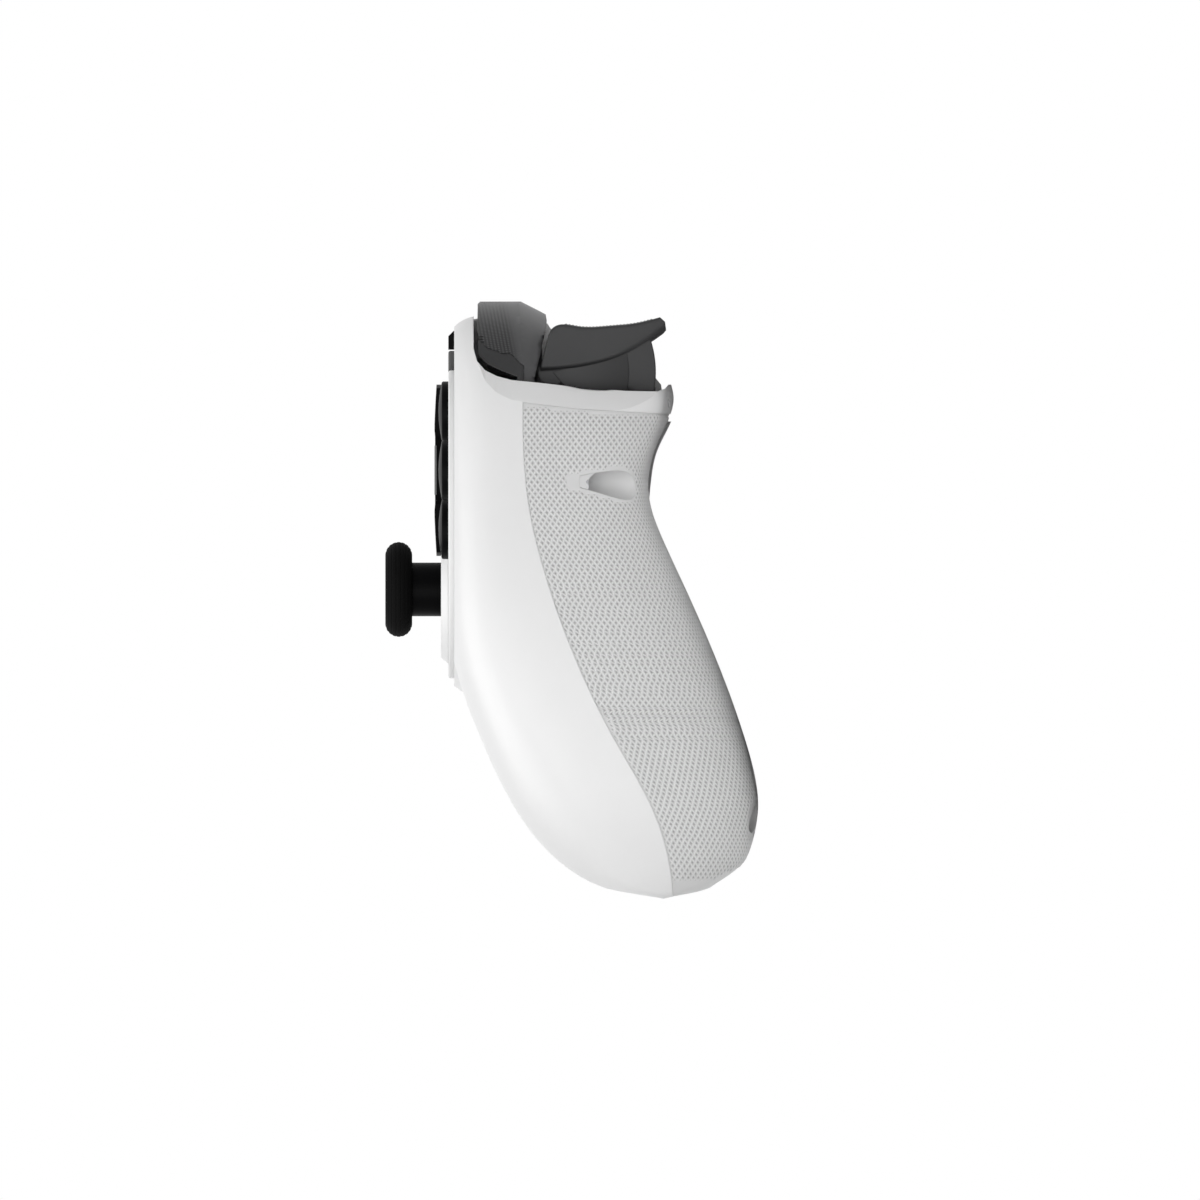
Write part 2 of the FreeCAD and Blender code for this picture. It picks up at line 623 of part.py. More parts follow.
def front_panel():
    """Flat raised panel of the front, with a bevelled edge."""
    top = full_wire(-PANEL_MARGIN)
    foot = full_wire(-PANEL_MARGIN - PANEL_BEVEL)
    base = face_prism(foot, -PANEL_DEPTH, -PANEL_BEVEL_DEPTH)
    foot.translate(Vector(0, 0, -PANEL_BEVEL_DEPTH))
    return base.fuse(Part.makeLoft([foot, top], True, True))


def main_solid(shape):
    """The largest solid of a shape, without the slivers that a cut leaves."""
    return max(shape.Solids, key=lambda solid: solid.Volume)


def case_bottom():
    """Height Y of the case's bottom edge in the middle."""
    return FAN_Y + INNER_RADIUS[0][1]


def jack_z():
    """Depth of the headset socket's axis."""
    return MAIN_BOARD_FRONT + JACK_NOSE + 0.4


def build_face():
    """Face plate, black trim, touchpad and stick bezels."""
    plate = face_prism(plate_wire(0), 0, PLATE_HEIGHT)
    top_edges = [e for e in plate.Edges if abs(e.BoundBox.ZMin - PLATE_HEIGHT) < 0.01]
    plate = plate.makeFillet(PLATE_EDGE, top_edges)
    keep("face_plate", plate.cut(face_holes(-1, 5, GUIDE_GAP)).removeSplitter())
    trim = box(-TOUCH_HALF, TOUCH_HALF, TOUCH_TOP + GUIDE_GAP, TRIM_TOP, -TRIM_DEPTH, PLATE_HEIGHT)
    top_edges = [e for e in trim.Edges if abs(e.BoundBox.YMin - TRIM_TOP) < EDGE_FIND]
    long_edge = [e for e in top_edges if e.BoundBox.ZMin > 0.9 and e.Length > 9]
    keep("top_trim", trim.makeChamfer(PLATE_HEIGHT - 0.1, long_edge))
    pad = box(-TOUCH_HALF, TOUCH_HALF, TOUCH_BOTTOM, TOUCH_TOP, PLATE_HEIGHT - TOUCH_THICK, PLATE_HEIGHT)
    rim = [e for e in pad.Edges if abs(e.BoundBox.ZMin - PLATE_HEIGHT) < 0.01]
    keep("touchpad", pad.makeFillet(PLATE_EDGE, rim))
    bezel = turned([(BEZEL_HOLE, -FRONT_WALL), (BEZEL_HOLE + 0.9, -FRONT_WALL), (BEZEL_HOLE + 0.9, PLATE_HEIGHT),
                    (BEZEL_BASE, PLATE_HEIGHT), (BEZEL_RIM, BEZEL_TOP), (BEZEL_HOLE + 0.2, BEZEL_TOP),
                    (BEZEL_HOLE, BEZEL_TOP - 0.3)], STICK_X, STICK_Y)
    keep_pair("stick_bezel", bezel)


def build_buttons():
    """Face buttons, small buttons and the directional pad with its gimbal."""
    for name, (x, y) in button_places().items():
        rise = BUTTON_TOP - BUTTON_RIM
        ball = (BUTTON_RADIUS ** 2 + rise ** 2) / (2 * rise)
        cap = Part.makeCylinder(BUTTON_RADIUS, BUTTON_TOP + 2.5, Vector(x, y, -2.5))
        cap = cap.common(Part.makeSphere(ball, Vector(x, y, BUTTON_TOP - ball)))
        flange_top = -FRONT_WALL - PART_GAP
        foot = Vector(x, y, flange_top - FLANGE_THICK)
        flange = Part.makeCylinder(BUTTON_RADIUS + BUTTON_FLANGE, FLANGE_THICK, foot)
        keep(name, joined([cap, flange, box(x - 1.5, x + 1.5, y - 1.5, y + 1.5, button_foot(), -2.4)]))
    lip_top = -FRONT_WALL - PART_GAP
    for side, name in ((-1, "left_menu_button"), (1, "right_menu_button")):
        x = side * PILL_X
        cap = pill(PILL_LENGTH, PILL_WIDTH, -2.4, PILL_TOP, x, PILL_Y)
        top = [e for e in cap.Edges if abs(e.BoundBox.ZMin - PILL_TOP) < 0.01]
        cap = cap.makeFillet(PLATE_EDGE, top)
        bottom = lip_top - FLANGE_THICK
        flange = pill(PILL_LENGTH + PILL_LIP, PILL_WIDTH + PILL_LIP, bottom, lip_top, x, PILL_Y)
        keep(name, joined([cap, flange]))
    cap = Part.makeCylinder(HOME_RADIUS, PILL_TOP + 2.5, Vector(0, STICK_Y, -2.5))
    cap = cap.makeFillet(PLATE_EDGE, [e for e in cap.Edges if abs(e.BoundBox.ZMin - PILL_TOP) < 0.01])
    foot = Vector(0, STICK_Y, -FRONT_WALL - PART_GAP - FLANGE_THICK)
    flange = Part.makeCylinder(HOME_RADIUS + PILL_LIP, FLANGE_THICK, foot)
    keep("home_button", joined([cap, flange]))
    build_dpad()


def button_foot():
    """Depth of a face button's foot, clear of its rubber dome when the button is down."""
    return BUTTON_BOARD_FRONT + MEMBRANE + DOME_HEIGHT + BUTTON_TRAVEL + PART_GAP


def build_dpad():
    """Directional pad: cap, gimbal block and bracket."""
    x, y = -CLUSTER_X, CLUSTER_Y
    body = cross(DPAD_HALF, DPAD_ARM, DPAD_BOTTOM, DPAD_TOP, x, y)
    ball = (DPAD_HALF ** 2 + DPAD_DIP ** 2) / (2 * DPAD_DIP)
    dish = Part.makeSphere(ball / 3, Vector(x, y, DPAD_TOP + ball / 3 - DPAD_DIP))
    crown = Part.makeSphere(ball, Vector(x, y, DPAD_TOP - ball + 0.1))
    body = body.common(crown).cut(dish)
    ears = []
    for s in (-1, 1):
        middle = y + s * DPAD_EAR_OUT
        ears.append(box(x - DPAD_EAR_HALF, x + DPAD_EAR_HALF, middle - 1, middle + 1, DPAD_PIVOT_Z - 1.4, -1.1))
    bores = rod(PIVOT_PIN + FIT, (x, y - 6, DPAD_PIVOT_Z), (x, y + 6, DPAD_PIVOT_Z))
    plungers = []
    for a, b in FOUR_WAYS:
        px, py = x + DPAD_PLUNGER_OUT * a, y + DPAD_PLUNGER_OUT * b
        plungers.append(rod(DPAD_PLUNGER, (px, py, -2.0), (px, py, 0)))
    keep("dpad", joined([body] + ears + plungers).cut(bores))
    half, end = DPAD_BLOCK, DPAD_PIN_END
    block = box(x - half, x + half, y - half, y + half, DPAD_PIVOT_Z - half / 2, DPAD_PIVOT_Z + half / 2)
    along = rod(PIVOT_PIN, (x, y - end, DPAD_PIVOT_Z), (x, y + end, DPAD_PIVOT_Z))
    across = rod(PIVOT_PIN, (x - end, y, DPAD_PIVOT_Z), (x + end, y, DPAD_PIVOT_Z))
    keep("dpad_gimbal", joined([block, along, across]))
    base = BUTTON_BOARD_FRONT
    posts = [box(x + s * 4 - 1, x + s * 4 + 1, y - 1.6, y + 1.6, base, DPAD_PIVOT_Z + 1.2) for s in (-1, 1)]
    foot = box(x - 5, x + 5, y - 1.6, y + 1.6, base, base + 0.8)
    seat = rod(PIVOT_PIN + FIT, (x - 6, y, DPAD_PIVOT_Z), (x + 6, y, DPAD_PIVOT_Z))
    keep("dpad_bracket", joined([foot] + posts).cut(seat))


def build_membranes():
    """Rubber sheets with domes under the face buttons and the directional pad."""
    base = BUTTON_BOARD_FRONT
    top = base + MEMBRANE
    x, y = CLUSTER_X, CLUSTER_Y
    sheet = cross(BUTTON_PITCH + 4.4, 9.0, base, top, x, y)
    places = button_places().values()
    domes = [Part.makeCone(DOME_PAD, DOME_PAD - 1.0, DOME_HEIGHT, Vector(bx, by, top)) for bx, by in places]
    keep("button_membrane", joined([sheet] + domes))
    sheet = cross(13.4, 7.0, base, top, -x, y).cut(box(-x - 5.2, -x + 5.2, y - 1.8, y + 1.8, base - 1, top + 1))
    places = [(-x + DPAD_PLUNGER_OUT * a, y + DPAD_PLUNGER_OUT * b) for a, b in FOUR_WAYS]
    domes = [Part.makeCone(2.6, 1.8, 2.6, Vector(dx, dy, top)) for dx, dy in places]
    keep("dpad_membrane", joined([sheet] + domes))


def usb_block(gap):
    """Outer block of the charging socket, grown by a gap."""
    top = BRIDGE_TOP - USB_SUNK
    z0 = MAIN_BOARD_FRONT
    return box(-USB_HALF - gap, USB_HALF + gap, top - USB_LENGTH, top, z0 - gap, z0 + USB_HEIGHT + gap)


def build_electronics(hollow):
    """Boards, battery, sockets, membranes and board screws."""
    upper, lower = board_boss_places()
    z1 = BUTTON_BOARD_FRONT
    board = face_prism(full_wire(BOARD_MARGIN), z1 - BOARD_THICK, z1).common(hollow)
    cuts = [Part.makeCylinder(STICK_HOLE, 10, Vector(s * STICK_X, STICK_Y, z1 - 5)) for s in (-1, 1)]
    cuts += [rod(BOSS_RADIUS + 0.6, (x, y, z1 - 5), (x, y, z1 + 5)) for x, y in lower]
    cuts += [rod(BOARD_SCREW, (x, y, z1 - 5), (x, y, z1 + 5)) for x, y in upper]
    keep("button_board", main_solid(board.cut(cuts)))
    z2 = MAIN_BOARD_FRONT
    wide = face_prism(full_wire(BOARD_MARGIN), z2 - BOARD_THICK, z2)
    wide = wide.common(box(-FAR, FAR, -FAR, WELL_BOTTOM - WEB - 0.5, -FAR, 0))
    tongue = box(WEB - WELL_X + 1, WELL_X - WEB - 1, 10, BRIDGE_TOP - USB_LENGTH + 2, z2 - BOARD_THICK, z2)
    main = wide.fuse(tongue).removeSplitter().common(hollow)
    main = main.cut([rod(BOARD_SCREW, (x, y, z2 - 5), (x, y, z2 + 5)) for x, y in lower])
    keep("main_board", main_solid(main))
    screws = []
    for places, z in ((upper, z1), (lower, z2)):
        for x, y in places:
            back = z - BOARD_THICK
            head = rod(BOARD_HEAD, (x, y, back - BOARD_HEAD_HEIGHT), (x, y, back))
            shank = rod(BOARD_SCREW, (x, y, back), (x, y, back + 5))
            screws.append(head.fuse(shank).removeSplitter())
    keep("board_screws", Part.Compound(screws))
    rear = z2 - BOARD_THICK - BATTERY_GAP
    pack = box(-BATTERY_HALF, BATTERY_HALF, BATTERY_Y[0], BATTERY_Y[1], rear - BATTERY_THICK, rear)
    upright = [e for e in pack.Edges if e.BoundBox.YLength < 1 and e.BoundBox.XLength < 1]
    keep("battery_pack", pack.makeFillet(1.2, upright))
    block = usb_block(0)
    z0 = MAIN_BOARD_FRONT
    back, top = BRIDGE_TOP - USB_LENGTH, BRIDGE_TOP - USB_SUNK
    half = USB_HALF - USB_SHELL
    mouth = box(-half, half, back, FAR, z0 + USB_SHELL, z0 + USB_HEIGHT - USB_SHELL)
    middle = z0 + USB_HEIGHT / 2
    tongue = box(-USB_HALF + 4 * USB_SHELL, USB_HALF - 4 * USB_SHELL, back - USB_SHELL / 2, top - 2 * USB_TONGUE,
                 middle - USB_TONGUE / 2, middle + USB_TONGUE / 2)
    keep("usb_c_socket", block.cut(mouth).fuse(tongue).removeSplitter())
    bottom = case_bottom()
    front = z0 + 2 * JACK_NOSE + 0.8
    body = box(-JACK_HALF, JACK_HALF, bottom + WALL + 0.2, bottom + JACK_LENGTH + 3, z0, front)
    nose = rod(JACK_NOSE, (0, bottom + 0.2, jack_z()), (0, bottom + 4, jack_z()))
    bore = rod(JACK_BORE, (0, bottom - 1, jack_z()), (0, bottom + 0.2 + JACK_LENGTH, jack_z()))
    keep("headset_jack", joined([body, nose]).cut(bore))
    build_membranes()


def build_sticks():
    """Analogue sticks: housing, gimbal, yoke, stem and rubber cap."""
    x, y, z = STICK_X, STICK_Y, STICK_PIVOT_Z
    half = HOUSING_HALF
    outer = box(x - half, x + half, y - half, y + half, MAIN_BOARD_FRONT, HOUSING_TOP)
    room = HOUSING_HALF - HOUSING_WALL
    cavity = box(x - room, x + room, y - room, y + room, MAIN_BOARD_FRONT + 1.0, 0)
    seat = rod(PIVOT_PIN + FIT, (x - FAR / 9, y, z), (x + FAR / 9, y, z))
    keep_pair("stick_housing", outer.cut([cavity, seat]))
    half, thick = GIMBAL_HALF, GIMBAL_THICK / 2
    ring = box(x - half, x + half, y - half, y + half, z - thick, z + thick)
    hole = box(x - GIMBAL_HOLE, x + GIMBAL_HOLE, y - GIMBAL_HOLE, y + GIMBAL_HOLE, z - 5, z + 5)
    pins = [rod(PIVOT_PIN, (x + s * GIMBAL_HOLE, y, z), (x + s * HOUSING_HALF, y, z)) for s in (-1, 1)]
    bores = rod(PIVOT_PIN + FIT, (x, y - 9, z), (x, y + 9, z))
    keep_pair("stick_gimbal", joined([ring.cut(hole)] + pins).cut(bores))
    block = box(x - YOKE_HALF, x + YOKE_HALF, y - YOKE_HALF, y + YOKE_HALF, z - 1.5, z + 1.5)
    pins = [rod(PIVOT_PIN, (x, y + s * 2, z), (x, y + s * (GIMBAL_HALF - 0.1), z)) for s in (-1, 1)]
    keep_pair("stick_yoke", joined([block] + pins).cut(rod(SHAFT_RADIUS + FIT, (x, y, z - 5), (x, y, z + 5))))
    keep_pair("stick_stem", stick_stem(x, y, z))
    keep_pair("stick_cap", stick_cap(x, y))


def stick_stem(x, y, z):
    """Stem with its shaft below and its dome skirt, about the pivot."""
    pivot = Vector(x, y, z)
    shell = Part.makeSphere(DOME_RADIUS, pivot).cut(Part.makeSphere(DOME_RADIUS - DOME_WALL, pivot))
    floor = z + DOME_RADIUS * math.cos(math.radians(DOME_ANGLE))
    shell = shell.common(box(x - FAR, x + FAR, y - FAR, y + FAR, floor, FAR))
    column = rod(STEM_RADIUS, (x, y, -2.2), (x, y, CAP_BOTTOM))
    shaft = rod(SHAFT_RADIUS, (x, y, z - 3.0), (x, y, 0))
    return joined([shell, column, shaft])


def stick_cap(x, y):
    """Rubber cap: a thick disc with a fully rounded edge and a shallow dish on top."""
    half = (CAP_TOP - CAP_BOTTOM) / 2
    disc = Part.makeCylinder(CAP_RADIUS, 2 * half, Vector(x, y, CAP_BOTTOM))
    disc = disc.makeFillet(half - 0.02, [e for e in disc.Edges if e.Length > 40 and e.BoundBox.ZLength < 0.01])
    dish = Part.makeSphere(30.0, Vector(x, y, CAP_TOP + 30.0 - 0.6))
    return disc.cut(dish)


def trigger_arc(radius, degrees):
    """Point (Z, Y) on a circle about the trigger's pivot; 0 degrees points to the back, up is positive."""
    a = math.radians(degrees)
    return (TRIGGER_PIVOT[0] - radius * math.cos(a), TRIGGER_PIVOT[1] + radius * math.sin(a))


def sector(radius, start, end, x0, x1):
    """Wedge of the trigger's body about its pivot, with a true arc as its back."""
    points = [Vector(x0, y, z) for z, y in (trigger_arc(radius, start), trigger_arc(radius, (start + end) / 2),
                                            trigger_arc(radius, end), TRIGGER_PIVOT)]
    arc = Part.Arc(points[0], points[1], points[2]).toShape()
    edges = [arc, Part.makeLine(points[2], points[3]), Part.makeLine(points[3], points[0])]
    return Part.Face(Part.Wire(edges)).extrude(Vector(x1 - x0, 0, 0))


def long_enough(edge):
    """Whether an edge runs along most of the paddle."""
    return edge.BoundBox.ZLength > SIDE_OUT_X / 4


def trigger_paddle():
    """The trigger's paddle: smooth top and underside, with its sides' lower edges rounded."""
    top = spline_edge([Vector(TRIGGER_IN_X, y, z) for z, y in PADDLE_TOP])
    under = spline_edge([Vector(TRIGGER_IN_X, y, z) for z, y in PADDLE_UNDER])
    tip = [Vector(TRIGGER_IN_X, y, z) for z, y in [PADDLE_TOP[-1]] + PADDLE_LIP + [PADDLE_UNDER[0]]]
    front = [Vector(TRIGGER_IN_X, y, z) for z, y in [PADDLE_UNDER[-1]] + PADDLE_FRONT + [PADDLE_TOP[0]]]
    edges = [top, under] + [Part.makeLine(a, b) for path in (tip, front) for a, b in zip(path, path[1:])]
    outline = Part.Wire(Part.__sortEdges__(edges))
    paddle = Part.Face(outline).extrude(Vector(TRIGGER_OUT_X - TRIGGER_IN_X, 0, 0))
    low = PADDLE_UNDER[0][1] + EDGE_FIND
    side = [e for e in paddle.Edges if e.BoundBox.XLength < EDGE_FIND]
    paddle = paddle.makeFillet(PADDLE_ROUND, [e for e in side if e.BoundBox.YMax < low and long_enough(e)])
    side = [e for e in paddle.Edges if e.BoundBox.XLength < EDGE_FIND]
    return paddle.makeFillet(PLATE_EDGE, [e for e in side if e.BoundBox.YMin > low and long_enough(e)])


def build_triggers():
    """Triggers with their pins and springs."""
    pz, py = TRIGGER_PIVOT
    start, end = CORE_ANGLES
    core = sector(TRIGGER_ARC, start, end, CORE_IN_X, SIDE_OUT_X)
    outer_edges = [e for e in core.Edges if abs(e.BoundBox.XMin - SIDE_OUT_X) < EDGE_FIND]
    back = [e for e in outer_edges if e.BoundBox.XLength < EDGE_FIND]
    core = core.makeFillet(CORE_ROUND, [max(back, key=lambda e: e.Length)])
    cavity = sector(TRIGGER_ARC - TRIGGER_WALL, start - 15, end - 32, CORE_IN_X + CHEEK, CORE_OUT_X - CHEEK)
    hub = rod(TRIGGER_HUB, (CORE_IN_X, py, pz), (CORE_OUT_X, py, pz))
    cover = rod(ARM_HALF, (SIDE_IN_X, py, pz), (SIDE_OUT_X, py, pz))
    gap = rod(SPRING_OUT + PART_GAP, (CORE_IN_X + CHEEK, py, pz), (CORE_OUT_X - CHEEK, py, pz))
    arm_room = [arm_slot(x, ARM_THICK + 2 * PART_GAP) for x in arm_places()]
    body = joined([trigger_paddle(), core.cut(cavity), hub, cover]).cut(gap).cut(arm_room)
    body = body.cut(rod(TRIGGER_PIN + FIT, (0, py, pz), (SIDE_IN_X, py, pz)))
    keep_pair("trigger", main_solid(body))
    inner, outer = arm_places()
    keep_pair("trigger_pin", rod(TRIGGER_PIN, (inner - ARM_THICK / 2, py, pz), (outer + ARM_THICK / 2, py, pz)))
    x0 = (CORE_IN_X + CORE_OUT_X) / 2 - SPRING_LENGTH / 2
    core = rod(SPRING_IN, (x0 - 1, py, pz), (x0 + SPRING_LENGTH + 1, py, pz))
    coil = rod(SPRING_OUT, (x0, py, pz), (x0 + SPRING_LENGTH, py, pz)).cut(core)
    leg = rod(0.4, (x0 + 0.5, py - 2.0, pz), (x0 + 0.5, frame_floor(), pz))
    keep_pair("trigger_spring", coil.fuse(leg).removeSplitter())


def arm_places():
    """Middles in X of the frame's two arms, either side of the trigger's body."""
    return (CORE_IN_X - PART_GAP - ARM_THICK / 2, CORE_OUT_X + PART_GAP + ARM_THICK / 2)


def arm_slot(x, thick):
    """Room for one arm in the trigger's paddle, wide enough for the trigger's swing."""
    pz, py = TRIGGER_PIVOT
    half = ARM_HALF + PART_GAP
    knob = rod(half, (x - thick / 2, py, pz), (x + thick / 2, py, pz))
    swing = side_prism([(pz - half, py), (pz + half, py), (pz + half + 4, py - 14), (pz - half - 4, py - 14)],
                       x - thick / 2, x + thick / 2)
    return knob.fuse(swing)


def frame_floor():
    """Height Y of the shoulder frame's floor."""
    return WELL_BOTTOM + 1.6


def build_shoulder_frame(well):
    """Frame in each well: floor, trigger arms and bumper post, with the bumper's pin and switch."""
    pz, py = TRIGGER_PIVOT
    floor = well.common(box(0, FAR, WELL_BOTTOM, frame_floor(), -FAR, 0))
    arms = []
    for x in arm_places():
        arms.append(box(x - ARM_THICK / 2, x + ARM_THICK / 2, frame_floor() - 0.5, py, pz - ARM_HALF, pz + ARM_HALF))
        arms.append(rod(ARM_HALF, (x - ARM_THICK / 2, py, pz), (x + ARM_THICK / 2, py, pz)))
    bx, by = BUMPER_PIVOT
    liner = well.common(side_prism(LINER, WELL_X, WELL_X + LINER_WALL))
    arms.append(liner)
    post = box(bx - 2.2, bx + 2.2, frame_floor() - 0.5, by + 2.2, -15.4, -13.4)
    holes = [rod(TRIGGER_PIN, (0, py, pz), (FAR, py, pz)), rod(BUMPER_PIN, (bx, by, -20), (bx, by, 0))]
    keep_pair("shoulder_frame", main_solid(joined([floor] + arms + [post]).cut(holes)))
    keep_pair("bumper_pin", rod(BUMPER_PIN, (bx, by, -15.4), (bx, by, -6.0)))
    top = BUMPER_PROFILE[6][1] - 1.6
    half = SWITCH_SIZE / 2
    centre = (BUMPER_PROFILE[6][0] + BUMPER_PROFILE[7][0]) / 2
    stand = box(SWITCH_X - half, SWITCH_X + half, frame_floor(), top - 0.8, centre - 1.9, centre + 1.9)
    plunger = box(SWITCH_X - 1, SWITCH_X + 1, top - 1.0, top, centre - 0.8, centre + 0.8)
    keep_pair("bumper_switch", joined([stand, plunger]))


def bumper_wire(z, inset):
    """The bumper's outline at a depth, moved in from its outer curve."""
    path = [Vector(x, y, z) for x, y in BUMPER_OUTLINE]
    ways = [b - a for a, b in zip(path[:1] + path[:-1], path[1:] + path[-1:])]
    outer = [p + Vector(w.y, -w.x, 0).normalize() * inset for p, w in zip(path, ways)]
    low = BUMPER_PROFILE[6][1] - BUMPER_WALL
    corners = [outer[-1], Vector(outer[-1].x, low, z), Vector(outer[0].x, low, z), outer[0]]
    edges = [spline_edge(outer)] + [Part.makeLine(a, b) for a, b in zip(corners, corners[1:])]
    return Part.Wire(Part.__sortEdges__(edges))


def build_bumpers():
    """Bumpers: the bar's side profile within its front outline, hollow from below."""
    profile = side_prism(BUMPER_PROFILE, 0, FAR)
    layers = [face_prism(bumper_wire(0, 0), BUMPER_CHAMFER[0][0], 0)]
    for (z0, in0), (z1, in1) in zip(BUMPER_CHAMFER, BUMPER_CHAMFER[1:]):
        layers.append(Part.makeLoft([bumper_wire(z0, in0), bumper_wire(z1, in1)], True, True))
    bar = profile.common(layers[0].fuse(layers[1:]))
    bx, by = BUMPER_PIVOT
    hollow = box(bx + 5, BUMPER_OUT_X - 6, 20, 47.0, -13.0 + BUMPER_WALL, -3.9 - BUMPER_WALL)
    notch = box(BUMPER_IN_X - 1, bx + 3.4, 20, by + 3.4, -FAR, -13.0)
    skirt = box(BUMPER_IN_X - 1, SWITCH_X - 8, 20, 38.6, -FAR, -10)
    bore = rod(BUMPER_PIN + FIT, (bx, by, -20), (bx, by, -5.9))
    keep_pair("bumper", main_solid(bar.cut([hollow, notch, skirt, bore])))


def build_rumble(inner_skin):
    """Rumble motors with their eccentric weights and cradles."""
    x, z = MOTOR_X, MOTOR_Z
    can = rod(MOTOR_RADIUS, (x, MOTOR_Y[0], z), (x, MOTOR_Y[1], z))
    can = can.cut(rod(MOTOR_SHAFT + FIT, (x, MOTOR_Y[0] - 1, z), (x, MOTOR_Y[1] - 4, z)))
    keep_pair("rumble_motor", can)
    y1 = MOTOR_Y[0] - WEIGHT_GAP
    weight = rod(WEIGHT_RADIUS, (x, y1 - WEIGHT_THICK, z), (x, y1, z))
    weight = weight.cut(box(x - FAR, x + FAR, y1 - FAR, y1 + 1, z, z + FAR))
    hub = rod(2.2, (x, y1 - WEIGHT_THICK, z), (x, y1, z))
    shaft = rod(MOTOR_SHAFT, (x, y1 - WEIGHT_THICK, z), (x, MOTOR_Y[1] - 4.5, z))
    keep_pair("rumble_weight", joined([weight, hub, shaft]))
    ribs = []
    for y in (MOTOR_Y[0] + 1.5, MOTOR_Y[1] - 1.5 - CRADLE_RIB):
        ribs.append(box(x - CRADLE_HALF, x + CRADLE_HALF, y, y + CRADLE_RIB, -FAR, z - 1.0))
    low = z - MOTOR_RADIUS - 3.0
    deck = box(x - CRADLE_HALF, x + CRADLE_HALF, MOTOR_Y[0] + 1.5, MOTOR_Y[1] - 1.5, low, low + 2.0)
    cradle = joined(ribs + [deck]).common(inner_skin).cut(rod(MOTOR_RADIUS, (x, -FAR, z), (x, FAR, z)))
    keep_pair("motor_cradle", main_solid(cradle))


def lay_down():
    """Turn the pad onto its back, on its rest line, and centre it over the origin."""
    tilt = Rotation(Vector(1, 0, 0), -math.degrees(math.atan2(REST_DROP, REST_RUN)))
    laid = {name: shape.copy() for name, shape in NODES.items()}
    for shape in laid.values():
        shape.transformShape(Placement(Vector(0, 0, 0), tilt).toMatrix(), True)
    points = [point for shape in laid.values() for point in shape.tessellate(MEASURE)[0]]
    low, high = min(p.y for p in points), max(p.y for p in points)
    shift = Vector(0, -(low + high) / 2, -min(p.z for p in points))
    for shape in laid.values():
        shape.translate(shift)
    print("tilt %.6f shift %.4f %.4f" % (math.degrees(tilt.Angle), shift.y, shift.z))
    return laid


def main():
    """Build every piece and write one STEP file for each."""
    hollow, well, inner_skin = build_case()
    build_face()
    build_buttons()
    build_electronics(hollow)
    build_sticks()
    build_triggers()
    build_shoulder_frame(well)
    build_bumpers()
    build_rumble(inner_skin)
    os.makedirs("parts", exist_ok=True)
    for name, shape in lay_down().items():
        shape.exportStep(os.path.join("parts", name + ".step"))
        facts = (name, len(shape.Solids), shape.isValid(), shape.Volume)
        print("%-20s solids %d valid %s volume %.1f" % facts)


main()
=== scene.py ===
"""Looks of a full-size gamepad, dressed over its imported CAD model.

Pieces are modelled in the pad frame, as the source of the solids is: X to the player's right, Y towards
the shoulders, Z out of the face, in metres. Each is then laid down into the row frame with the CAD.
"""
import json
import logging
import math
from dataclasses import dataclass
from enum import Enum

import bpy
import numpy as np
from mathutils import Matrix, Vector
from mathutils.bvhtree import BVHTree


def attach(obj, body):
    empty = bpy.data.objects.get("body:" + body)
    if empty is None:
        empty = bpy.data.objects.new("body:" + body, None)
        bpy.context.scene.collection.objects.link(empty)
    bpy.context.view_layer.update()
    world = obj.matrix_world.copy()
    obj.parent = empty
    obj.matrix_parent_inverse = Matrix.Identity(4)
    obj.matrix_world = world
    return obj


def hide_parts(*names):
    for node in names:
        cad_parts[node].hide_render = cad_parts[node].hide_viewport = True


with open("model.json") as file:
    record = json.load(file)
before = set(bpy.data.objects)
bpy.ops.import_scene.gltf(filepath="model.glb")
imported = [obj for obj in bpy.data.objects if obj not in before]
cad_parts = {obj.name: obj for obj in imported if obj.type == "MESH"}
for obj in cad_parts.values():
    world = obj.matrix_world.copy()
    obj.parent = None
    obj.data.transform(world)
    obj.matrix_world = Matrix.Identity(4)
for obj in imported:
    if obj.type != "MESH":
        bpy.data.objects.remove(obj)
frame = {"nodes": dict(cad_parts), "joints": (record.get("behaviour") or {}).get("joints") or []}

LOG = logging.getLogger("gamepad")
MM = 0.001
# A wave texture has this many bands in a unit at scale 1
WAVES_PER_UNIT = 20
# A pip fills its cell up to this share of the spacing
PIP_REACH = 0.45
# Painted shade darkens the pits towards their bottom by this power, and relief is drawn at this strength
PIT_SHADE_POWER = 1.6
BUMP_STRENGTH = 0.6
# Brushing lines are this much finer across than along
BRUSH_STRETCH = 0.02
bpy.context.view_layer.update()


def linear(code: str) -> tuple[float, float, float, float]:
    """Turn an sRGB hex colour into linear RGBA.

    Args:
        code: Six hex digits, such as "E6E6E4".

    Returns:
        Linear red, green, blue and an alpha of 1.
    """
    shares = [int(code[i:i + 2], 16) / 255 for i in (0, 2, 4)]
    red, green, blue = [s / 12.92 if s <= 0.04045 else ((s + 0.055) / 1.055) ** 2.4 for s in shares]
    return red, green, blue, 1.0


def add_node(tree: bpy.types.NodeTree, kind: str, settings: dict | None = None,
             links: dict | None = None) -> bpy.types.Node:
    """Add one shader node.

    Args:
        tree: The material's node tree.
        kind: The node's type name.
        settings: Node properties, or input socket names, and their values.
        links: Input sockets, by name or number, and the output sockets that feed them.

    Returns:
        The new node.
    """
    node = tree.nodes.new(kind)
    for name, value in (settings or {}).items():
        if isinstance(name, str) and hasattr(node, name):
            setattr(node, name, value)
        else:
            node.inputs[name].default_value = value
    for name, source in (links or {}).items():
        tree.links.new(source, node.inputs[name])
    return node


